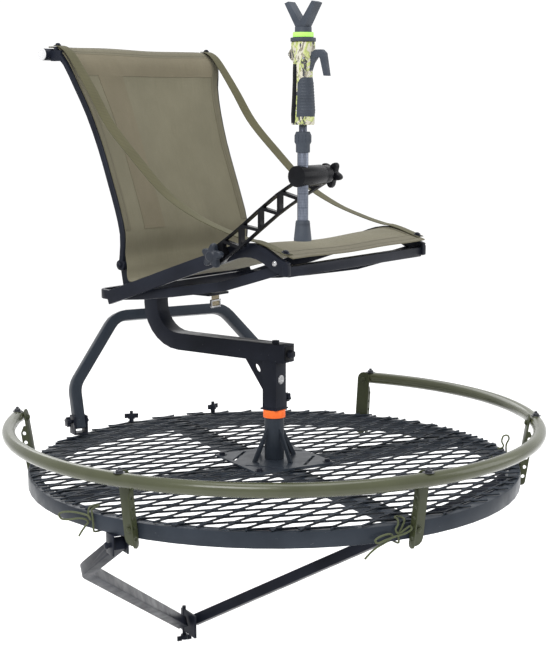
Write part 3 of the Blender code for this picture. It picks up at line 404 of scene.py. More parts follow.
def lathe(bm, profile, steps, matrix=None):
    """Adds a turned form: (radius, height) points from its top, down the outside, to its foot."""
    rings = []
    for radius, height in profile:
        if radius < 1e-6:
            rings.append([bm.verts.new((0, 0, height))])
        else:
            rings.append([bm.verts.new((radius * math.cos(a), radius * math.sin(a), height))
                          for a in (2 * math.pi * step / steps for step in range(steps))])
    for upper, lower in zip(rings, rings[1:]):
        for step in range(steps):
            after = (step + 1) % steps
            corners = [upper[step % len(upper)], upper[after % len(upper)], lower[after % len(lower)],
                       lower[step % len(lower)]]
            corners = list(dict.fromkeys(corners))
            if len(corners) > 2:
                bm.faces.new(corners)
    for ring in (rings[0], rings[-1]):
        if len(ring) > 1:
            bm.faces.new(ring)
    if matrix:
        bmesh.ops.transform(bm, matrix=matrix, verts=[vert for ring in rings for vert in ring])


def along(start, direction):
    """A frame at start whose +Z is the direction."""
    turn = Vector((0, 0, 1)).rotation_difference(Vector(direction))
    return Matrix.Translation(start) @ turn.to_matrix().to_4x4()


def add_box(bm, low, high, matrix=Matrix()):
    """Adds a block between two corners, as stock for small bevelled parts."""
    low, high = Vector(low), Vector(high)
    made = bmesh.ops.create_cube(bm, size=1.0)["verts"]
    place = Matrix.Translation((low + high) / 2) @ Matrix.Diagonal((*(high - low), 1.0))
    bmesh.ops.transform(bm, matrix=matrix @ place, verts=made)


def hex_bolt(bm, at, direction, size, washer=True):
    """A washer with a domed hexagon head, standing on a face at the point, pointing outwards."""
    stand = along(at, direction)
    foot = 0.0
    if washer:
        foot = 0.0012
        lathe(bm, [(0, foot), (size * 1.5, foot - 0.0001), (size * 1.55, 0.0), (0, 0.0)], 20, stand)
    head = [(0, 0.78), (0.6, 0.74), (0.86, 0.62), (1.0, 0.5), (1.0, 0.0), (0, 0.0)]
    lathe(bm, [(size * out, foot + size * up) for out, up in head], 6, stand)


def dome_bolt(bm, at, direction, size):
    """A domed head with a small hexagon on its crown."""
    stand = along(at, direction)
    dome = [(0, 0.62), (0.4, 0.58), (0.75, 0.38), (0.95, 0.12), (1.0, 0.0), (0, 0.0)]
    crown = [(0, 0.66), (0.3, 0.655), (0.3, 0.4), (0, 0.4)]
    for profile, steps in ((dome, 16), (crown, 6)):
        lathe(bm, [(size * out, size * up) for out, up in profile], steps, stand)


def smooth_line(points, steps):
    """A Catmull-Rom curve through the points."""
    knots = [Vector(point) for point in points]
    knots = [knots[0] * 2 - knots[1], *knots, knots[-1] * 2 - knots[-2]]
    result = []
    for a, b, c, d in zip(knots, knots[1:], knots[2:], knots[3:]):
        for step in range(steps):
            t = step / steps
            result.append(0.5 * (2 * b + (c - a) * t + (2 * a - 5 * b + 4 * c - d) * t * t
                                 + (3 * b - a - 3 * c + d) * t * t * t))
    result.append(knots[-2])
    return result


def even_line(points, count):
    """The same line with evenly spaced points, and its length."""
    lengths = [0.0]
    for first, second in zip(points, points[1:]):
        lengths.append(lengths[-1] + (second - first).length)
    result, index = [], 0
    for number in range(count + 1):
        target = lengths[-1] * number / count
        while index < len(points) - 2 and lengths[index + 1] < target:
            index += 1
        span = max(lengths[index + 1] - lengths[index], 1e-9)
        result.append(points[index].lerp(points[index + 1], min(1.0, (target - lengths[index]) / span)))
    return result, lengths[-1]


def wire(name, points, radius, look, body, resolution=6):
    """A round bar or cord along a line of points, with closed ends."""
    curve = bpy.data.curves.new(name, "CURVE")
    curve.dimensions = "3D"
    curve.bevel_depth = radius
    curve.bevel_resolution = resolution
    curve.use_fill_caps = True
    spline = curve.splines.new("POLY")
    spline.points.add(len(points) - 1)
    for slot, point in zip(spline.points, points):
        slot.co = (*point, 1.0)
    spline.use_smooth = True
    thing = bpy.data.objects.new(name, curve)
    bpy.context.scene.collection.objects.link(thing)
    curve.materials.append(LOOKS[look])
    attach(thing, body)
    return thing


# Tie cords: the route of each, round the rim, with a bow and a loose tail
# (node, angle on the rim, points). A point is outwards from the rim's outer face, along the rim and up from
# the deck's top. Each route begins with TIE_START.

TIE_RADIUS = 0.0019
TIE_START = [(-0.0290, 0.006, -0.012), (-0.0290, 0.006, -0.030), (-0.0275, 0.006, -0.0385),
             (-0.0200, 0.006, -0.0400), (0.0000, 0.006, -0.0392), (0.0038, 0.006, -0.0340),
             (0.0036, 0.005, -0.0220)]
TIES = [
    ("tie_cord_right", 199.3, [
        (0.0036, 0.003, -0.0080), (0.0022, 0.000, 0.0018), (-0.0050, -0.003, 0.0038),
        (-0.0180, -0.006, 0.0038), (-0.0270, -0.012, 0.0038), (-0.0180, -0.016, 0.0038),
        (-0.0030, -0.012, 0.0038), (0.0036, -0.008, -0.0030), (0.0060, -0.004, -0.0110),
        (0.0080, 0.003, -0.0145), (0.0110, 0.000, -0.0080), (0.0095, -0.016, -0.0070),
        (0.0110, -0.040, -0.0075), (0.0125, -0.066, -0.0115), (0.0125, -0.082, -0.0190),
        (0.0120, -0.076, -0.0270), (0.0110, -0.058, -0.0255), (0.0100, -0.034, -0.0190),
        (0.0095, -0.014, -0.0160), (0.0060, -0.006, -0.0210), (0.0055, -0.014, -0.0300),
        (0.0060, -0.024, -0.0420), (0.0060, -0.033, -0.0540)]),
    ("tie_cord_front", 265.1, [
        (0.0036, 0.012, -0.0100), (0.0022, 0.018, 0.0018), (-0.0050, 0.021, 0.0038),
        (-0.0170, 0.021, 0.0038), (-0.0230, 0.015, 0.0038), (-0.0170, 0.009, 0.0038),
        (-0.0030, 0.007, 0.0038), (0.0036, 0.004, -0.0030), (0.0055, -0.002, -0.0120),
        (0.0090, 0.002, -0.0190), (0.0100, 0.014, -0.0130), (0.0110, 0.025, -0.0070),
        (0.0135, 0.027, -0.0125), (0.0130, 0.014, -0.0190), (0.0120, -0.006, -0.0225),
        (0.0110, -0.026, -0.0270), (0.0110, -0.042, -0.0310), (0.0090, -0.046, -0.0250),
        (0.0075, -0.034, -0.0200), (0.0065, -0.016, -0.0180), (0.0045, -0.008, -0.0240),
        (0.0050, -0.022, -0.0330), (0.0055, -0.042, -0.0410), (0.0060, -0.056, -0.0500),
        (0.0060, -0.066, -0.0590)]),
    ("tie_cord_left", 341.5, [
        (0.0036, 0.002, -0.0080), (0.0022, 0.000, 0.0018), (0.0030, -0.001, 0.0110),
        (0.0080, -0.002, 0.0220), (0.0040, -0.003, 0.0300), (-0.0060, -0.004, 0.0290),
        (-0.0100, -0.005, 0.0180), (-0.0060, -0.006, 0.0080), (-0.0110, -0.010, 0.0042),
        (-0.0220, -0.014, 0.0038)]),
]


def tie_cords():
    """The cords' looks are finer than their CAD nodes, whose coarser route gives the length."""
    for name, angle, shape in TIES:
        turn = DECK @ Matrix.Rotation(math.radians(angle), 4, "Z")
        points = [turn @ Vector((DECK_RADIUS + out, side, up)) for out, side, up in TIE_START + shape]
        cord = wire(name + "_look", smooth_line(points, 5), TIE_RADIUS, "tie_cord", "platform")
        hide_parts(name)


tie_cords()


# Sling cloth: (distance forward of the post's axis, height, how far the cloth's edge stands in)

BACK_RAIL = [(-0.3780, 0.8640, 0.000), (-0.3560, 0.8430, 0.002), (-0.3430, 0.7950, 0.020),
             (-0.3230, 0.7380, 0.034), (-0.2985, 0.6680, 0.042), (-0.2745, 0.6000, 0.043),
             (-0.2540, 0.5410, 0.043), (-0.2400, 0.4900, 0.042), (-0.2415, 0.4470, 0.042)]
SEAT_TOP = [(-0.2280, 0.4240, 0.0390), (-0.2215, 0.4060, 0.0310), (-0.2115, 0.3955, 0.0250),
            (-0.1960, 0.3955, 0.0200), (-0.1740, 0.4015, 0.0140), (-0.1350, 0.4125, 0.0063),
            (-0.0840, 0.4255, 0.0063), (0.0, 0.4545, 0.0063), (0.0600, 0.4740, 0.0063),
            (0.1050, 0.4890, 0.0063), (0.1350, 0.4930, 0.0063), (0.1650, 0.4885, 0.0063),
            (0.1950, 0.4795, 0.0063), (0.2240, 0.4705, 0.0063)]
CREASE_Z = 0.4300
CLOTH_HALF = SEAT_HALF - 0.0065

# How far the cloth lies over the rails' line, sags between them and ripples
RAIL_LIFT = 0.0063
BACK_SAG = 0.009
SEAT_SAG = 0.007
SEAT_DROP = 0.002
RIPPLE = 0.0012


def sling_path():
    """Points (half width, y, z) over the top tube, down the back's rails, round the crease and out to the
    seat's front."""
    on_rails = []
    for index, (s, z, inset) in enumerate(BACK_RAIL):
        above, below = BACK_RAIL[max(index - 1, 0)], BACK_RAIL[min(index + 1, len(BACK_RAIL) - 1)]
        rise = Vector((above[0] - below[0], above[1] - below[1])).normalized()
        on_rails.append((s + RAIL_LIFT * rise.y, z - RAIL_LIFT * rise.x, inset))
    on_rails[0] = (-0.3740, 0.8725, 0.0)
    line = [(-0.4060, 0.8768, 0.0), (-0.3900, 0.8765, 0.0), *on_rails, *SEAT_TOP]
    return [(CLOTH_HALF - inset, -s, z) for s, z, inset in line]


def cloth_grid(edge, sag_at, columns):
    """Points of a sling: across it by columns, along its edge line by rows, sagging between the rails."""
    grid = []
    rows = len(edge) - 1
    for row, (half, y, z) in enumerate(edge):
        before, after = edge[max(row - 1, 0)], edge[min(row + 1, rows)]
        down = Vector((0, after.y - before.y, after.z - before.z)).normalized()
        normal = down.cross(Vector((1, 0, 0))).normalized()
        share = row / rows
        strip = []
        for column in range(columns + 1):
            across = 2 * column / columns - 1
            sag = sag_at(share) * (1 - across * across)
            ripple = RIPPLE * math.sin(9 * share + 5 * across) * (1 - across ** 4)
            strip.append(Vector((across * half, y, z)) - normal * (sag + ripple))
        grid.append(strip)
    return grid


def cloth(name, grid, width, length, look, body, thickness):
    """A sheet from a grid of points, with UVs in metres, given a thickness."""
    bm = bmesh.new()
    rows, columns = len(grid) - 1, len(grid[0]) - 1
    grid_faces(bm, grid, lambda row, column: ((column / columns - 0.5) * width, row / rows * length))
    return piece(name, bm, look, body, thickness=thickness)


def band(grid, rows, columns, lift):
    """A part of a grid, lifted off it, for a hem."""
    part = [strip[columns[0]:columns[1] + 1] for strip in grid[rows[0]:rows[1] + 1]]
    result = []
    for row, strip in enumerate(part):
        lifted = []
        for column, point in enumerate(strip):
            r, c = rows[0] + row, columns[0] + column
            down = grid[min(r + 1, len(grid) - 1)][c] - grid[max(r - 1, 0)][c]
            side = grid[r][min(c + 1, len(grid[0]) - 1)] - grid[r][max(c - 1, 0)]
            lifted.append(point + down.cross(side).normalized() * lift)
        result.append(lifted)
    return result


def stitches(name, lines, body):
    """Rows of short raised stitches along lines of points: two thirds thread, one third gap."""
    pitch, radius = 0.0042, 0.00045
    bm = bmesh.new()
    for line in lines:
        total = sum((b - a).length for a, b in zip(line, line[1:]))
        count = max(2, int(total / pitch))
        points, _ = even_line(line, count * 3)
        for number in range(count):
            first, last = points[number * 3], points[number * 3 + 2]
            matrix = along((first + last) / 2, (last - first).normalized())
            half = (last - first).length / 2
            lathe(bm, [(0, half), (radius, half * 0.5), (radius, -half * 0.5), (0, -half)], 5, matrix)
    flat_uvs(bm)
    return piece(name, bm, "thread", body)


def sling():
    """One cloth from the top tube to the seat's front edge, with hems and stitching."""
    rows, columns = 176, 72
    line, length = even_line(smooth_line(sling_path(), 6), rows)
    crease = next(row for row, point in enumerate(line) if point.z < CREASE_Z)

    def sag_at(share):
        row = share * rows
        if row < crease:
            return BACK_SAG * math.sin(math.pi * min(1.0, row / crease)) ** 0.7
        return SEAT_DROP + SEAT_SAG * math.sin(math.pi * (row - crease) / (rows - crease)) ** 0.8

    grid = cloth_grid(line, sag_at, columns)
    width = 2 * CLOTH_HALF
    sheet = cloth("sling_cloth", grid, width, length, "sling_fabric", None, 0.0016)
    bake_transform(sheet)
    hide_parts("seat_fabric", "back_fabric")
    # hems and facings, in rows from the top tube and columns from the sitter's right; none cross the crease
    top, facing, front = 8, 8 + 9, rows - 6
    back_end, seat_start = crease - 12, crease + 14
    right, left, whole = (0, 3), (columns - 3, columns), (0, columns)
    for name, span, cross, body in (
            ("back_hem_top", (0, top), whole, "back"),
            ("back_facing_top", (top, facing), (right[1], left[0]), "back"),
            ("back_facing_strip", (facing, back_end), (11, 23), "back"),
            ("back_hem_right", (top, back_end), right, "back"),
            ("back_hem_left", (top, back_end), left, "back"),
            ("seat_hem_front", (front, rows), whole, "seat"),
            ("seat_hem_right", (seat_start, front), right, "seat"),
            ("seat_hem_left", (seat_start, front), left, "seat")):
        size = ((cross[1] - cross[0]) / columns * width, (span[1] - span[0]) / rows * length)
        look, lift, thick = ("facing", 0.0011, 0.0007) if "facing" in name else ("hem", 0.0013, 0.0011)
        cloth(name, band(grid, span, cross, lift), *size, look, body, thick)
    above_hems = band(grid, (0, rows), whole, 0.0021)
    for name, body, across, sides in (("back_stitching", "back", (3, top - 1), (top, back_end)),
                                      ("seat_stitching", "seat", (front + 1, rows - 2), (seat_start, front))):
        lines = [above_hems[row][1:-1] for row in across]
        lines += [[strip[column] for strip in above_hems[sides[0]:sides[1]]] for column in (2, columns - 2)]
        stitches(name, lines, body)


sling()


# Side straps: webbing from the back's top bolts to the seat's front corners

STRAP = [(-0.386, 0.8800), (-0.372, 0.8780), (-0.352, 0.8660), (-0.326, 0.8350), (-0.289, 0.7850),
         (-0.243, 0.7200), (-0.176, 0.655), (-0.092, 0.583), (-0.011, 0.540), (0.067, 0.514),
         (0.120, 0.5010), (0.140, 0.4990), (0.165, 0.4930), (0.190, 0.4850), (0.214, 0.4770)]
STRAP_WIDTH = 0.025
STRAP_ACROSS = (-1.0, -0.93, -0.5, 0.0, 0.5, 0.93, 1.0)
STRAP_ROWS = 110


def strap_grid(line):
    """Rows of points across a strap, which twists a little over its hanging part."""
    half, hanging, twist = STRAP_WIDTH / 2, 0.72, 0.22
    grid = []
    for index, centre in enumerate(line):
        before, after = line[max(index - 1, 0)], line[min(index + 1, len(line) - 1)]
        normal = (after - before).normalized().cross(Vector((1, 0, 0)))
        tilt = twist * math.sin(math.pi * min(1.0, index / STRAP_ROWS / hanging))
        strip = []
        for across in STRAP_ACROSS:
            edge = 0.0003 if abs(across) == 1.0 else 0.0
            strip.append(centre + Vector((across * half * math.cos(tilt), 0, 0))
                         + normal * (across * half * math.sin(tilt) - edge))
        grid.append(strip)
    return grid


def straps():
    for side, word in ((-1, "right"), (1, "left")):
        route = smooth_line([(side * (SEAT_HALF - 0.014), -s, z) for s, z in STRAP], 8)
        line, length = even_line(route, STRAP_ROWS)
        bm = bmesh.new()
        columns = len(STRAP_ACROSS) - 1
        grid_faces(bm, strap_grid(line), lambda row, column: (column / columns * STRAP_WIDTH,
                                                              row / STRAP_ROWS * length))
        thing = piece(f"strap_{word}", bm, "webbing", None, thickness=0.0014)
        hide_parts(f"side_strap_{word}")
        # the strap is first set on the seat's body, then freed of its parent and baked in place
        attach(thing, "seat")
        thing.parent = None
        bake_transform(thing)


straps()


# Guard rail with its end caps, and the bolts of its brackets

def guard_rail():
    def on_rail(angle):
        turn = math.radians(angle)
        return Vector((GUARD_RADIUS * math.cos(turn), GUARD_RADIUS * math.sin(turn), GUARD_Z))

    start, end = GUARD_ENDS
    steps = 150
    line = [DECK @ on_rail(start + (end - start) * step / steps) for step in range(steps + 1)]
    rail = wire("guard_rail_tube", line, GUARD_TUBE, "olive_metal", "platform", 8)
    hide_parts("guard_rail")
    caps, bolts, nuts = bmesh.new(), bmesh.new(), bmesh.new()
    cap = [(0, 0.0040), (0.008, 0.0036), (0.0125, 0.0022), (0.0140, 0.0), (0.0140, -0.003), (0, -0.003)]
    for angle, way in ((start, -1), (end, 1)):
        turn = math.radians(angle)
        lathe(caps, cap, 24, along(on_rail(angle), Vector((-math.sin(turn), math.cos(turn), 0)) * way))
    bolt_end = [(0, 0.0105), (0.0028, 0.0100), (0.0034, 0.0085), (0.0034, 0.0), (0, 0.0)]
    for angle in BRACKETS:
        local = (Matrix.Rotation(math.radians(angle), 4, "Z")
                 @ Matrix.Translation((DECK_RADIUS + 0.0073, 0, 0)) @ Matrix.Rotation(BRACKET_LEAN, 4, "Y"))
        # the upper bolt's head is on the bracket's inner face, the lower one's on its outer face
        for z, face, size in ((0.083, -1, 0.0058), (-0.018, 1, 0.0062)):
            at = local @ Vector((face * 0.0015, 0, z))
            direction = (local.to_3x3() @ Vector((face, 0, 0))).normalized()
            hex_bolt(bolts, at, direction, size)
        inset = {start: 1.2, end: -1.2}.get(angle, 0.0)
        at = on_rail(angle + inset) + Vector((0, 0, 0.0130))
        hex_bolt(nuts, at, (0, 0, 1), 0.0072)
        lathe(nuts, bolt_end, 12, Matrix.Translation(at))
    piece("guard_rail_caps", caps, "black_plastic", "platform", DECK)
    piece("bracket_bolts", bolts, "bracket_olive", "platform", DECK)
    piece("guard_rail_nuts", nuts, "black_bolt", "platform", DECK)


guard_rail()


# Expanded metal: tilted strands between knuckles, in place of the CAD's plain lattice

CELL_LONG, CELL_SHORT = 0.0935, 0.0463
CELL_SHIFT = (-0.018, 0.020)
MESH_Z = -0.0011
MESH_REACH = DECK_RADIUS - 0.0035
KNUCKLE = ((-0.0135, 0.4), (-0.0065, 1.6), (0.0065, 1.6), (0.0135, 0.4))


def cut_at_rim(first, second):
    """A strand's ends, with the one beyond the rim, if any, moved back to it."""
    if max(first.xy.length, second.xy.length) <= MESH_REACH:
        return first, second
    low, high = (first, second) if first.xy.length < second.xy.length else (second, first)
    inside, outside = 0.0, 1.0
    for _ in range(20):
        share = (inside + outside) / 2
        if low.lerp(high, share).xy.length < MESH_REACH:
            inside = share
        else:
            outside = share
    cut = low.lerp(high, inside)
    return (low, cut) if low is first else (cut, low)


def expanded_metal():
    bm = bmesh.new()
    width, thick, tilt = 0.0042, 0.0023, math.radians(27)
    wide = Vector((0, math.cos(tilt), math.sin(tilt))) * width / 2
    deep = Vector((0, -math.sin(tilt), math.cos(tilt))) * thick / 2

    def slab(sections):
        """A closed bar through sections, each (centre, how many widths it spans)."""
        corners = ((1, 1), (-1, 1), (-1, -1), (1, -1))
        rings = [[bm.verts.new(centre + wide * share * a + deep * b) for a, b in corners]
                 for centre, share in sections]
        bm.faces.new(reversed(rings[0]))
        bm.faces.new(rings[-1])
        ring_sides(bm, rings)

    half_long, half_short = CELL_LONG / 2, CELL_SHORT / 2
    count = int(DECK_RADIUS / half_short) + 3
    for column in range(-count // 2, count // 2 + 1):
        for row in range(-count, count + 1):
            if (column + row) % 2 == 0:
                continue
            knot = Vector((column * half_long + CELL_SHIFT[0], row * half_short + CELL_SHIFT[1], MESH_Z))
            if knot.xy.length < MESH_REACH - 0.008:
                slab([(knot + Vector((x, 0, 0)), share) for x, share in KNUCKLE])
            for way in (1, -1):
                first = knot + wide * way * 0.9
                second = knot + Vector((half_long, way * half_short, 0)) - wide * way * 0.9
                if min(first.xy.length, second.xy.length) <= MESH_REACH:
                    slab([(end, 1.0) for end in cut_at_rim(first, second)])
    strands = piece("expanded_metal", bm, "deck_black_painted_sheen", "platform", DECK)
    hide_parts("deck_mesh")


expanded_metal()


# Star knobs of the gun rest

KNOB_RADIUS = 0.0250
KNOB_LOBES = 5
KNOB_PROFILE = ((0.84, 0.0), (0.97, 0.0014), (1.0, 0.0040), (1.0, 0.0095), (0.96, 0.0125), (0.88, 0.0140),
                (0.52, 0.0146), (0.42, 0.0160), (0.36, 0.0178), (0.16, 0.0184))


def star_knob(name, node, look, body, at, direction, turn):
    """A lobed knob with a raised hub, a collar and a stud behind it."""
    bm = bmesh.new()
    steps = 12 * KNOB_LOBES
    rings = []
    for share, height in KNOB_PROFILE:
        ring = []
        for step in range(steps):
            angle = 2 * math.pi * step / steps
            lobe = 0.80 + 0.20 * math.cos(KNOB_LOBES * angle + turn) if share > 0.6 else 0.92
            out = KNOB_RADIUS * share * lobe
            ring.append(bm.verts.new((out * math.cos(angle), out * math.sin(angle), height)))
        rings.append(ring)
    ring_sides(bm, rings)
    bm.faces.new(reversed(rings[0]))
    bm.faces.new(rings[-1])
    collar = KNOB_RADIUS * 0.42
    lathe(bm, [(0, 0.0010), (collar, 0.0010), (collar, -0.0055), (0, -0.0055)], 20)
    lathe(bm, [(0, -0.005), (0.0048, -0.005), (0.0048, -0.036), (0, -0.036)], 12)
    bmesh.ops.transform(bm, matrix=along(at, direction), verts=bm.verts)
    knob = piece(name, bm, look, body, SEAT)
    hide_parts(node)


star_knob("rest_star", "rest_knob", "knob_slate", "truss_knob", (-0.2800, -0.066, 0.470), (-1, 0, 0), 0.6)
star_knob("clamp_star", "clamp_knob", "black_plastic", "barrel_knob", (-0.2485, -0.310, 0.632), (1, 0, 0),
          0.3)


# Small hardware

ARCH_PIN = 0.2845 - 0.0335
BRACE_PIN = 0.4645


def hardware():
    dark = {body: bmesh.new() for body in ("platform", "seat", "back")}
    bright = bmesh.new()
    for side in (-1, 1):
        # strap bolts at the seat's front corners and on the back's top
        hex_bolt(dark["seat"], (side * 0.240, -0.2060, 0.4803), (0, -0.30, 0.95), 0.0055)
        hex_bolt(dark["back"], (side * 0.244, 0.3820, 0.8806), (0, 0.12, 0.99), 0.0048)
        # rail end bolts and the back's pivot bolts
        dome_bolt(bright, (side * SEAT_HALF, -0.190, 0.4600), (side, 0, 0), 0.0058)
        dome_bolt(dark["seat"], (side * (BACK_HALF + 0.0041), 0.245, 0.425), (side, 0, 0), 0.0058)
        # the inner heads of the arch's pins, and both ends of the brace's
        dome_bolt(dark["platform"], (side * ARCH_PIN, 0.446, 0.030), (-side, 0, 0), 0.0065)
        for way in (1, -1):
            at = (side * (BRACE_PIN + way * 0.0210), -0.2166, -0.058)
            hex_bolt(dark["platform"], at, (side * way, 0, 0), 0.0072, washer=False)
    # the base plate's and the saddle plate's corners
    for x, y in ((1, 1), (1, -1), (-1, 1), (-1, -1)):
        hex_bolt(dark["platform"], (x * 0.083, y * 0.083, 0.0040), (0, 0, 1), 0.0068)
        hex_bolt(dark["seat"], (x * 0.024, 0.262 + y * 0.045, 0.3520), (0, 0, 1), 0.0058)
    # the front bar's end blocks
    corners = bmesh.new()
    for side in (-1, 1):
        low, high = sorted((side * (SEAT_HALF - SEAT_RAIL_THICK - 0.0010), side * (SEAT_HALF + 0.0006)))
        add_box(corners, (low, -0.2205, 0.4365), (high, -0.2060, 0.4590))
    piece("seat_corner_blocks", corners, "frame_black", "seat", SEAT, 0.0030)
    for body, bm in dark.items():
        piece(f"{body}_dark_bolts", bm, "frame_black", body, DECK if body == "platform" else SEAT)
    piece("seat_bright_bolts", bright, "zinc", "seat")


hardware()


# The open ends of the back's top tube, the arm's end plug, and a plain disc where the sleeve has its label

def tube_ends():
    bm = bmesh.new()
    liner = [(0, 0.0004), (0.0092, 0.0004), (0.0104, 0.0012), (0.0120, 0.0010), (0.0124, 0.0), (0, 0.0)]
    for side in (-1, 1):
        lathe(bm, liner, 28, along((side * 0.2662, 0.407, 0.862), (side, 0, 0)))
    piece("back_tube_liner", bm, "hollow", "back")
    bm = bmesh.new()
    add_box(bm, (-0.0150, -0.0405, 0.2215), (0.0150, -0.0383, 0.2515))
    piece("arm_end_plug", bm, "black_plastic", "seat", SEAT, 0.0010)
    disc = [(0, 0.0016), (0.0085, 0.0016), (0.0085, 0.0008), (0.0098, 0.0008), (0.0100, 0.0), (0, 0.0)]
    bm = bmesh.new()
    lathe(bm, disc, 32, along((0.0, -0.0181, 0.178), (0, -1, 0)))
    piece("sleeve_plug", bm, "zinc", "seat", SEAT, 0.0003)


tube_ends()


# Grip: a camouflage body with a ribbed rubber panel, a back strap and a round boss

# (height, half width across, half depth fore and aft, shift forwards), up the stick
SECTIONS = [(0.7231, 0.0190, 0.0205, 0.000), (0.7260, 0.0200, 0.0213, 0.000),
            (0.7450, 0.0190, 0.0205, 0.0005), (0.7700, 0.0175, 0.0190, 0.0005),
            (0.8000, 0.0160, 0.0175, 0.000), (0.8150, 0.0158, 0.0175, 0.000),
            (0.8300, 0.0170, 0.0190, 0.0005), (0.8450, 0.0195, 0.0205, 0.0005),
            (0.8580, 0.0210, 0.0215, 0.000), (0.8665, 0.0212, 0.0212, 0.000),
            (0.8680, 0.0200, 0.0200, 0.000)]
BOSS = (0, 0.0190, 0.8470)
RIB_PITCH = 0.0052


def ring_point(angle, half_x, half_y, shift, z, grow=0.0):
    """A point on the grip's oval section, or proud of it."""
    return Vector(((half_x + grow) * math.cos(angle), -(half_y + grow) * math.sin(angle) - shift, z))


def section_at(z):
    """The grip's half width, half depth and shift at a height."""
    for low, high in zip(SECTIONS, SECTIONS[1:]):
        if low[0] <= z <= high[0]:
            t = (z - low[0]) / (high[0] - low[0])
            return [a + (b - a) * t for a, b in zip(low[1:], high[1:])]
    return SECTIONS[-1][1:]


def panel(name, look, start, end, bottom, top, lift, ribs=0.0, round_top=0.0):
    """A skin on the grip between two angles and heights, ribbed and with a rounded top if asked."""
    rows, columns = 72, 44
    points = []
    for row in range(rows + 1):
        strip = []
        for column in range(columns + 1):
            share = column / columns
            angle = math.radians(start + (end - start) * share)
            corner = max(0.0, 1 - 5 * min(share, 1 - share))
            peak = top - round_top * corner ** 2
            z = bottom + (peak - bottom) * row / rows
            half_x, half_y, shift = section_at(z)
            fade = min(1.0, 6 * min(share, 1 - share, row / rows, 1 - row / rows) + 0.15)
            rib = ribs * max(0.0, math.sin(2 * math.pi * (z - bottom) / RIB_PITCH)) * fade
            strip.append(ring_point(angle, half_x, half_y, shift, z, (lift + rib) * fade))
        points.append(strip)
    bm = bmesh.new()
    grid_faces(bm, points)
    piece(name, bm, look, "stick_top", STICK, thickness=0.0012, offset=-1.0)


def grip():
    steps = 40
    bm = bmesh.new()
    rings = [[bm.verts.new(ring_point(2 * math.pi * n / steps, half_x, half_y, shift, z))
              for n in range(steps)] for z, half_x, half_y, shift in SECTIONS]
    ring_sides(bm, rings)
    bm.faces.new(rings[0])
    bm.faces.new(rings[-1])
    body = piece("grip_body", bm, "grip", "stick_top", STICK)
    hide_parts("stick_grip")
    panel("grip_panel", "rubber", 182.0, -2.0, 0.7375, 0.8060, 0.0013, 0.0006, 0.010)
    panel("grip_back_strap", "black_plastic", 189.0, 351.0, 0.7262, 0.8290, 0.0016)
    # a round boss behind the trigger, its screw, and the screws at the grip's sides
    boss_frame = along(BOSS, (-0.35, 1, 0))
    boss = [(0, 0.0095), (0.0060, 0.0088), (0.0105, 0.0060), (0.0125, 0.0015), (0.0125, -0.0080),
            (0, -0.0080)]
    bm = bmesh.new()
    lathe(bm, boss, 24, boss_frame)
    piece("grip_boss", bm, "grip", "stick_top", STICK)
    bm = bmesh.new()
    lathe(bm, [(0, 0.0118), (0.0030, 0.0114), (0.0034, 0.0085), (0, 0.0085)], 12, boss_frame)
    for side in (-1, 1):
        lathe(bm, [(0, 0.0225), (0.0022, 0.0223), (0.0026, 0.0190), (0, 0.0190)], 12,
              along((0, -0.0150, 0.8390), (side, 0, 0)))
    piece("grip_screws", bm, "zinc", "stick_top", STICK)
    # the bright ring under the fork
    bm = bmesh.new()
    lathe(bm, [(0.0150, 0.8845), (0.0184, 0.8842), (0.0186, 0.8800), (0.0184, 0.8760), (0.0150, 0.8757)], 32)
    piece("yoke_ring", bm, "ring_green", "yoke", STICK)


grip()


# Rubber foot and lock collar: raised ribs

def stick_ribs():
    bm = bmesh.new()
    for step in range(3):
        z = 0.5430 + 0.0022 * step
        rib = [(0.0122, 0.0007), (0.0135, 0.0004), (0.0135, -0.0004), (0.0122, -0.0007)]
        lathe(bm, [(radius, z + up) for radius, up in rib], 28)
    piece("foot_ribs", bm, "rubber", "stick", STICK)
    bm = bmesh.new()
    ribs = 12
    for rib in range(ribs):
        turn = Matrix.Rotation(2 * math.pi * rib / ribs, 4, "Z")
        add_box(bm, (0.0138, -0.0011, 0.6920), (0.0152, 0.0011, 0.7050), turn)
    piece("collar_ribs", bm, "rubber", "collar", STICK, 0.0004)


stick_ribs()


# Buckle and webbing end under the seat

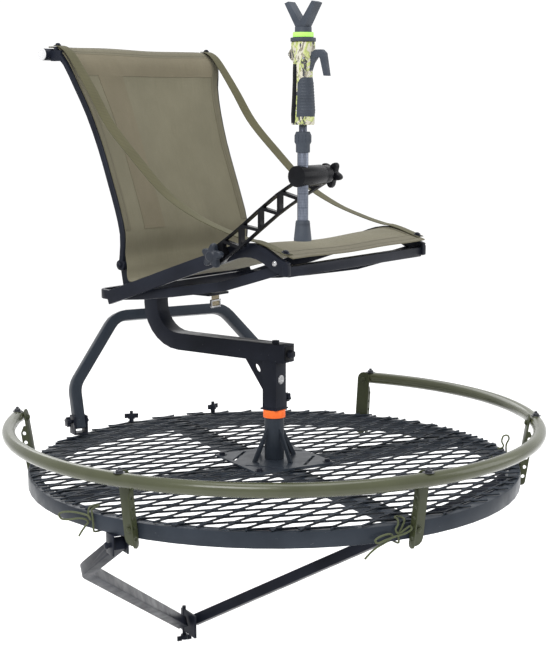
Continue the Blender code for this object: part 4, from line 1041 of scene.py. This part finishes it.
def under_buckle():
    bm = bmesh.new()
    add_box(bm, (-0.0125, 0.1600, 0.3210), (0.0125, 0.1615, 0.3468))
    flat_uvs(bm)
    piece("under_seat_tab", bm, "tan", "seat")
    # the buckle's four sides: x from and to, z from and to
    half, inner, foot, top = 0.0160, 0.0130, 0.3190, 0.3360
    bm = bmesh.new()
    for x0, x1, z0, z1 in ((-half, half, foot, 0.3225), (-half, half, 0.3330, top),
                           (-half, -inner, foot, top), (inner, half, foot, top)):
        add_box(bm, (x0, 0.1585, z0), (x1, 0.1630, z1))
    piece("under_seat_buckle", bm, "zinc", "seat", SEAT, 0.0006)


under_buckle()


# Floor and light

WHITE = (1.0, 1.0, 1.0, 1.0)
LAMP_TARGET = Vector((0, -0.5, 0.2))
# (name, place, size, power)
LAMPS = (("key", (-2.4, -2.6, 3.0), 1.8, 95), ("top", (0.2, -0.7, 3.6), 2.2, 60),
         ("fill", (3.2, -2.2, 1.6), 2.2, 30), ("back", (0.8, 3.0, 2.6), 2.4, 45))


def stage():
    bm = bmesh.new()
    bmesh.ops.create_grid(bm, x_segments=1, y_segments=1, size=40.0)
    mesh = bpy.data.meshes.new("floor")
    bm.to_mesh(mesh)
    bm.free()
    floor = bpy.data.objects.new("floor", mesh)
    bpy.context.scene.collection.objects.link(floor)
    floor.location.z = -0.575
    g = Graph("pale_floor", roughness=0.9)
    mesh.materials.append(g.finish(g.spread(g.noise(0.6, 2), 0.955, 0.97)))
    world = bpy.data.worlds.new("studio")
    bpy.context.scene.world = world
    world.use_nodes = True
    background = world.node_tree.nodes["Background"]
    background.inputs["Color"].default_value = WHITE
    background.inputs["Strength"].default_value = 1.08
    for name, at, size, power in LAMPS:
        light = bpy.data.lights.new(name, "AREA")
        light.size = size
        light.energy = power
        lamp = bpy.data.objects.new(name, light)
        bpy.context.scene.collection.objects.link(lamp)
        lamp.location = at
        lamp.rotation_euler = (LAMP_TARGET - Vector(at)).to_track_quat("-Z", "Y").to_euler()
    bpy.context.scene.view_settings.view_transform = "Standard"


stage()

bpy.context.view_layer.update()
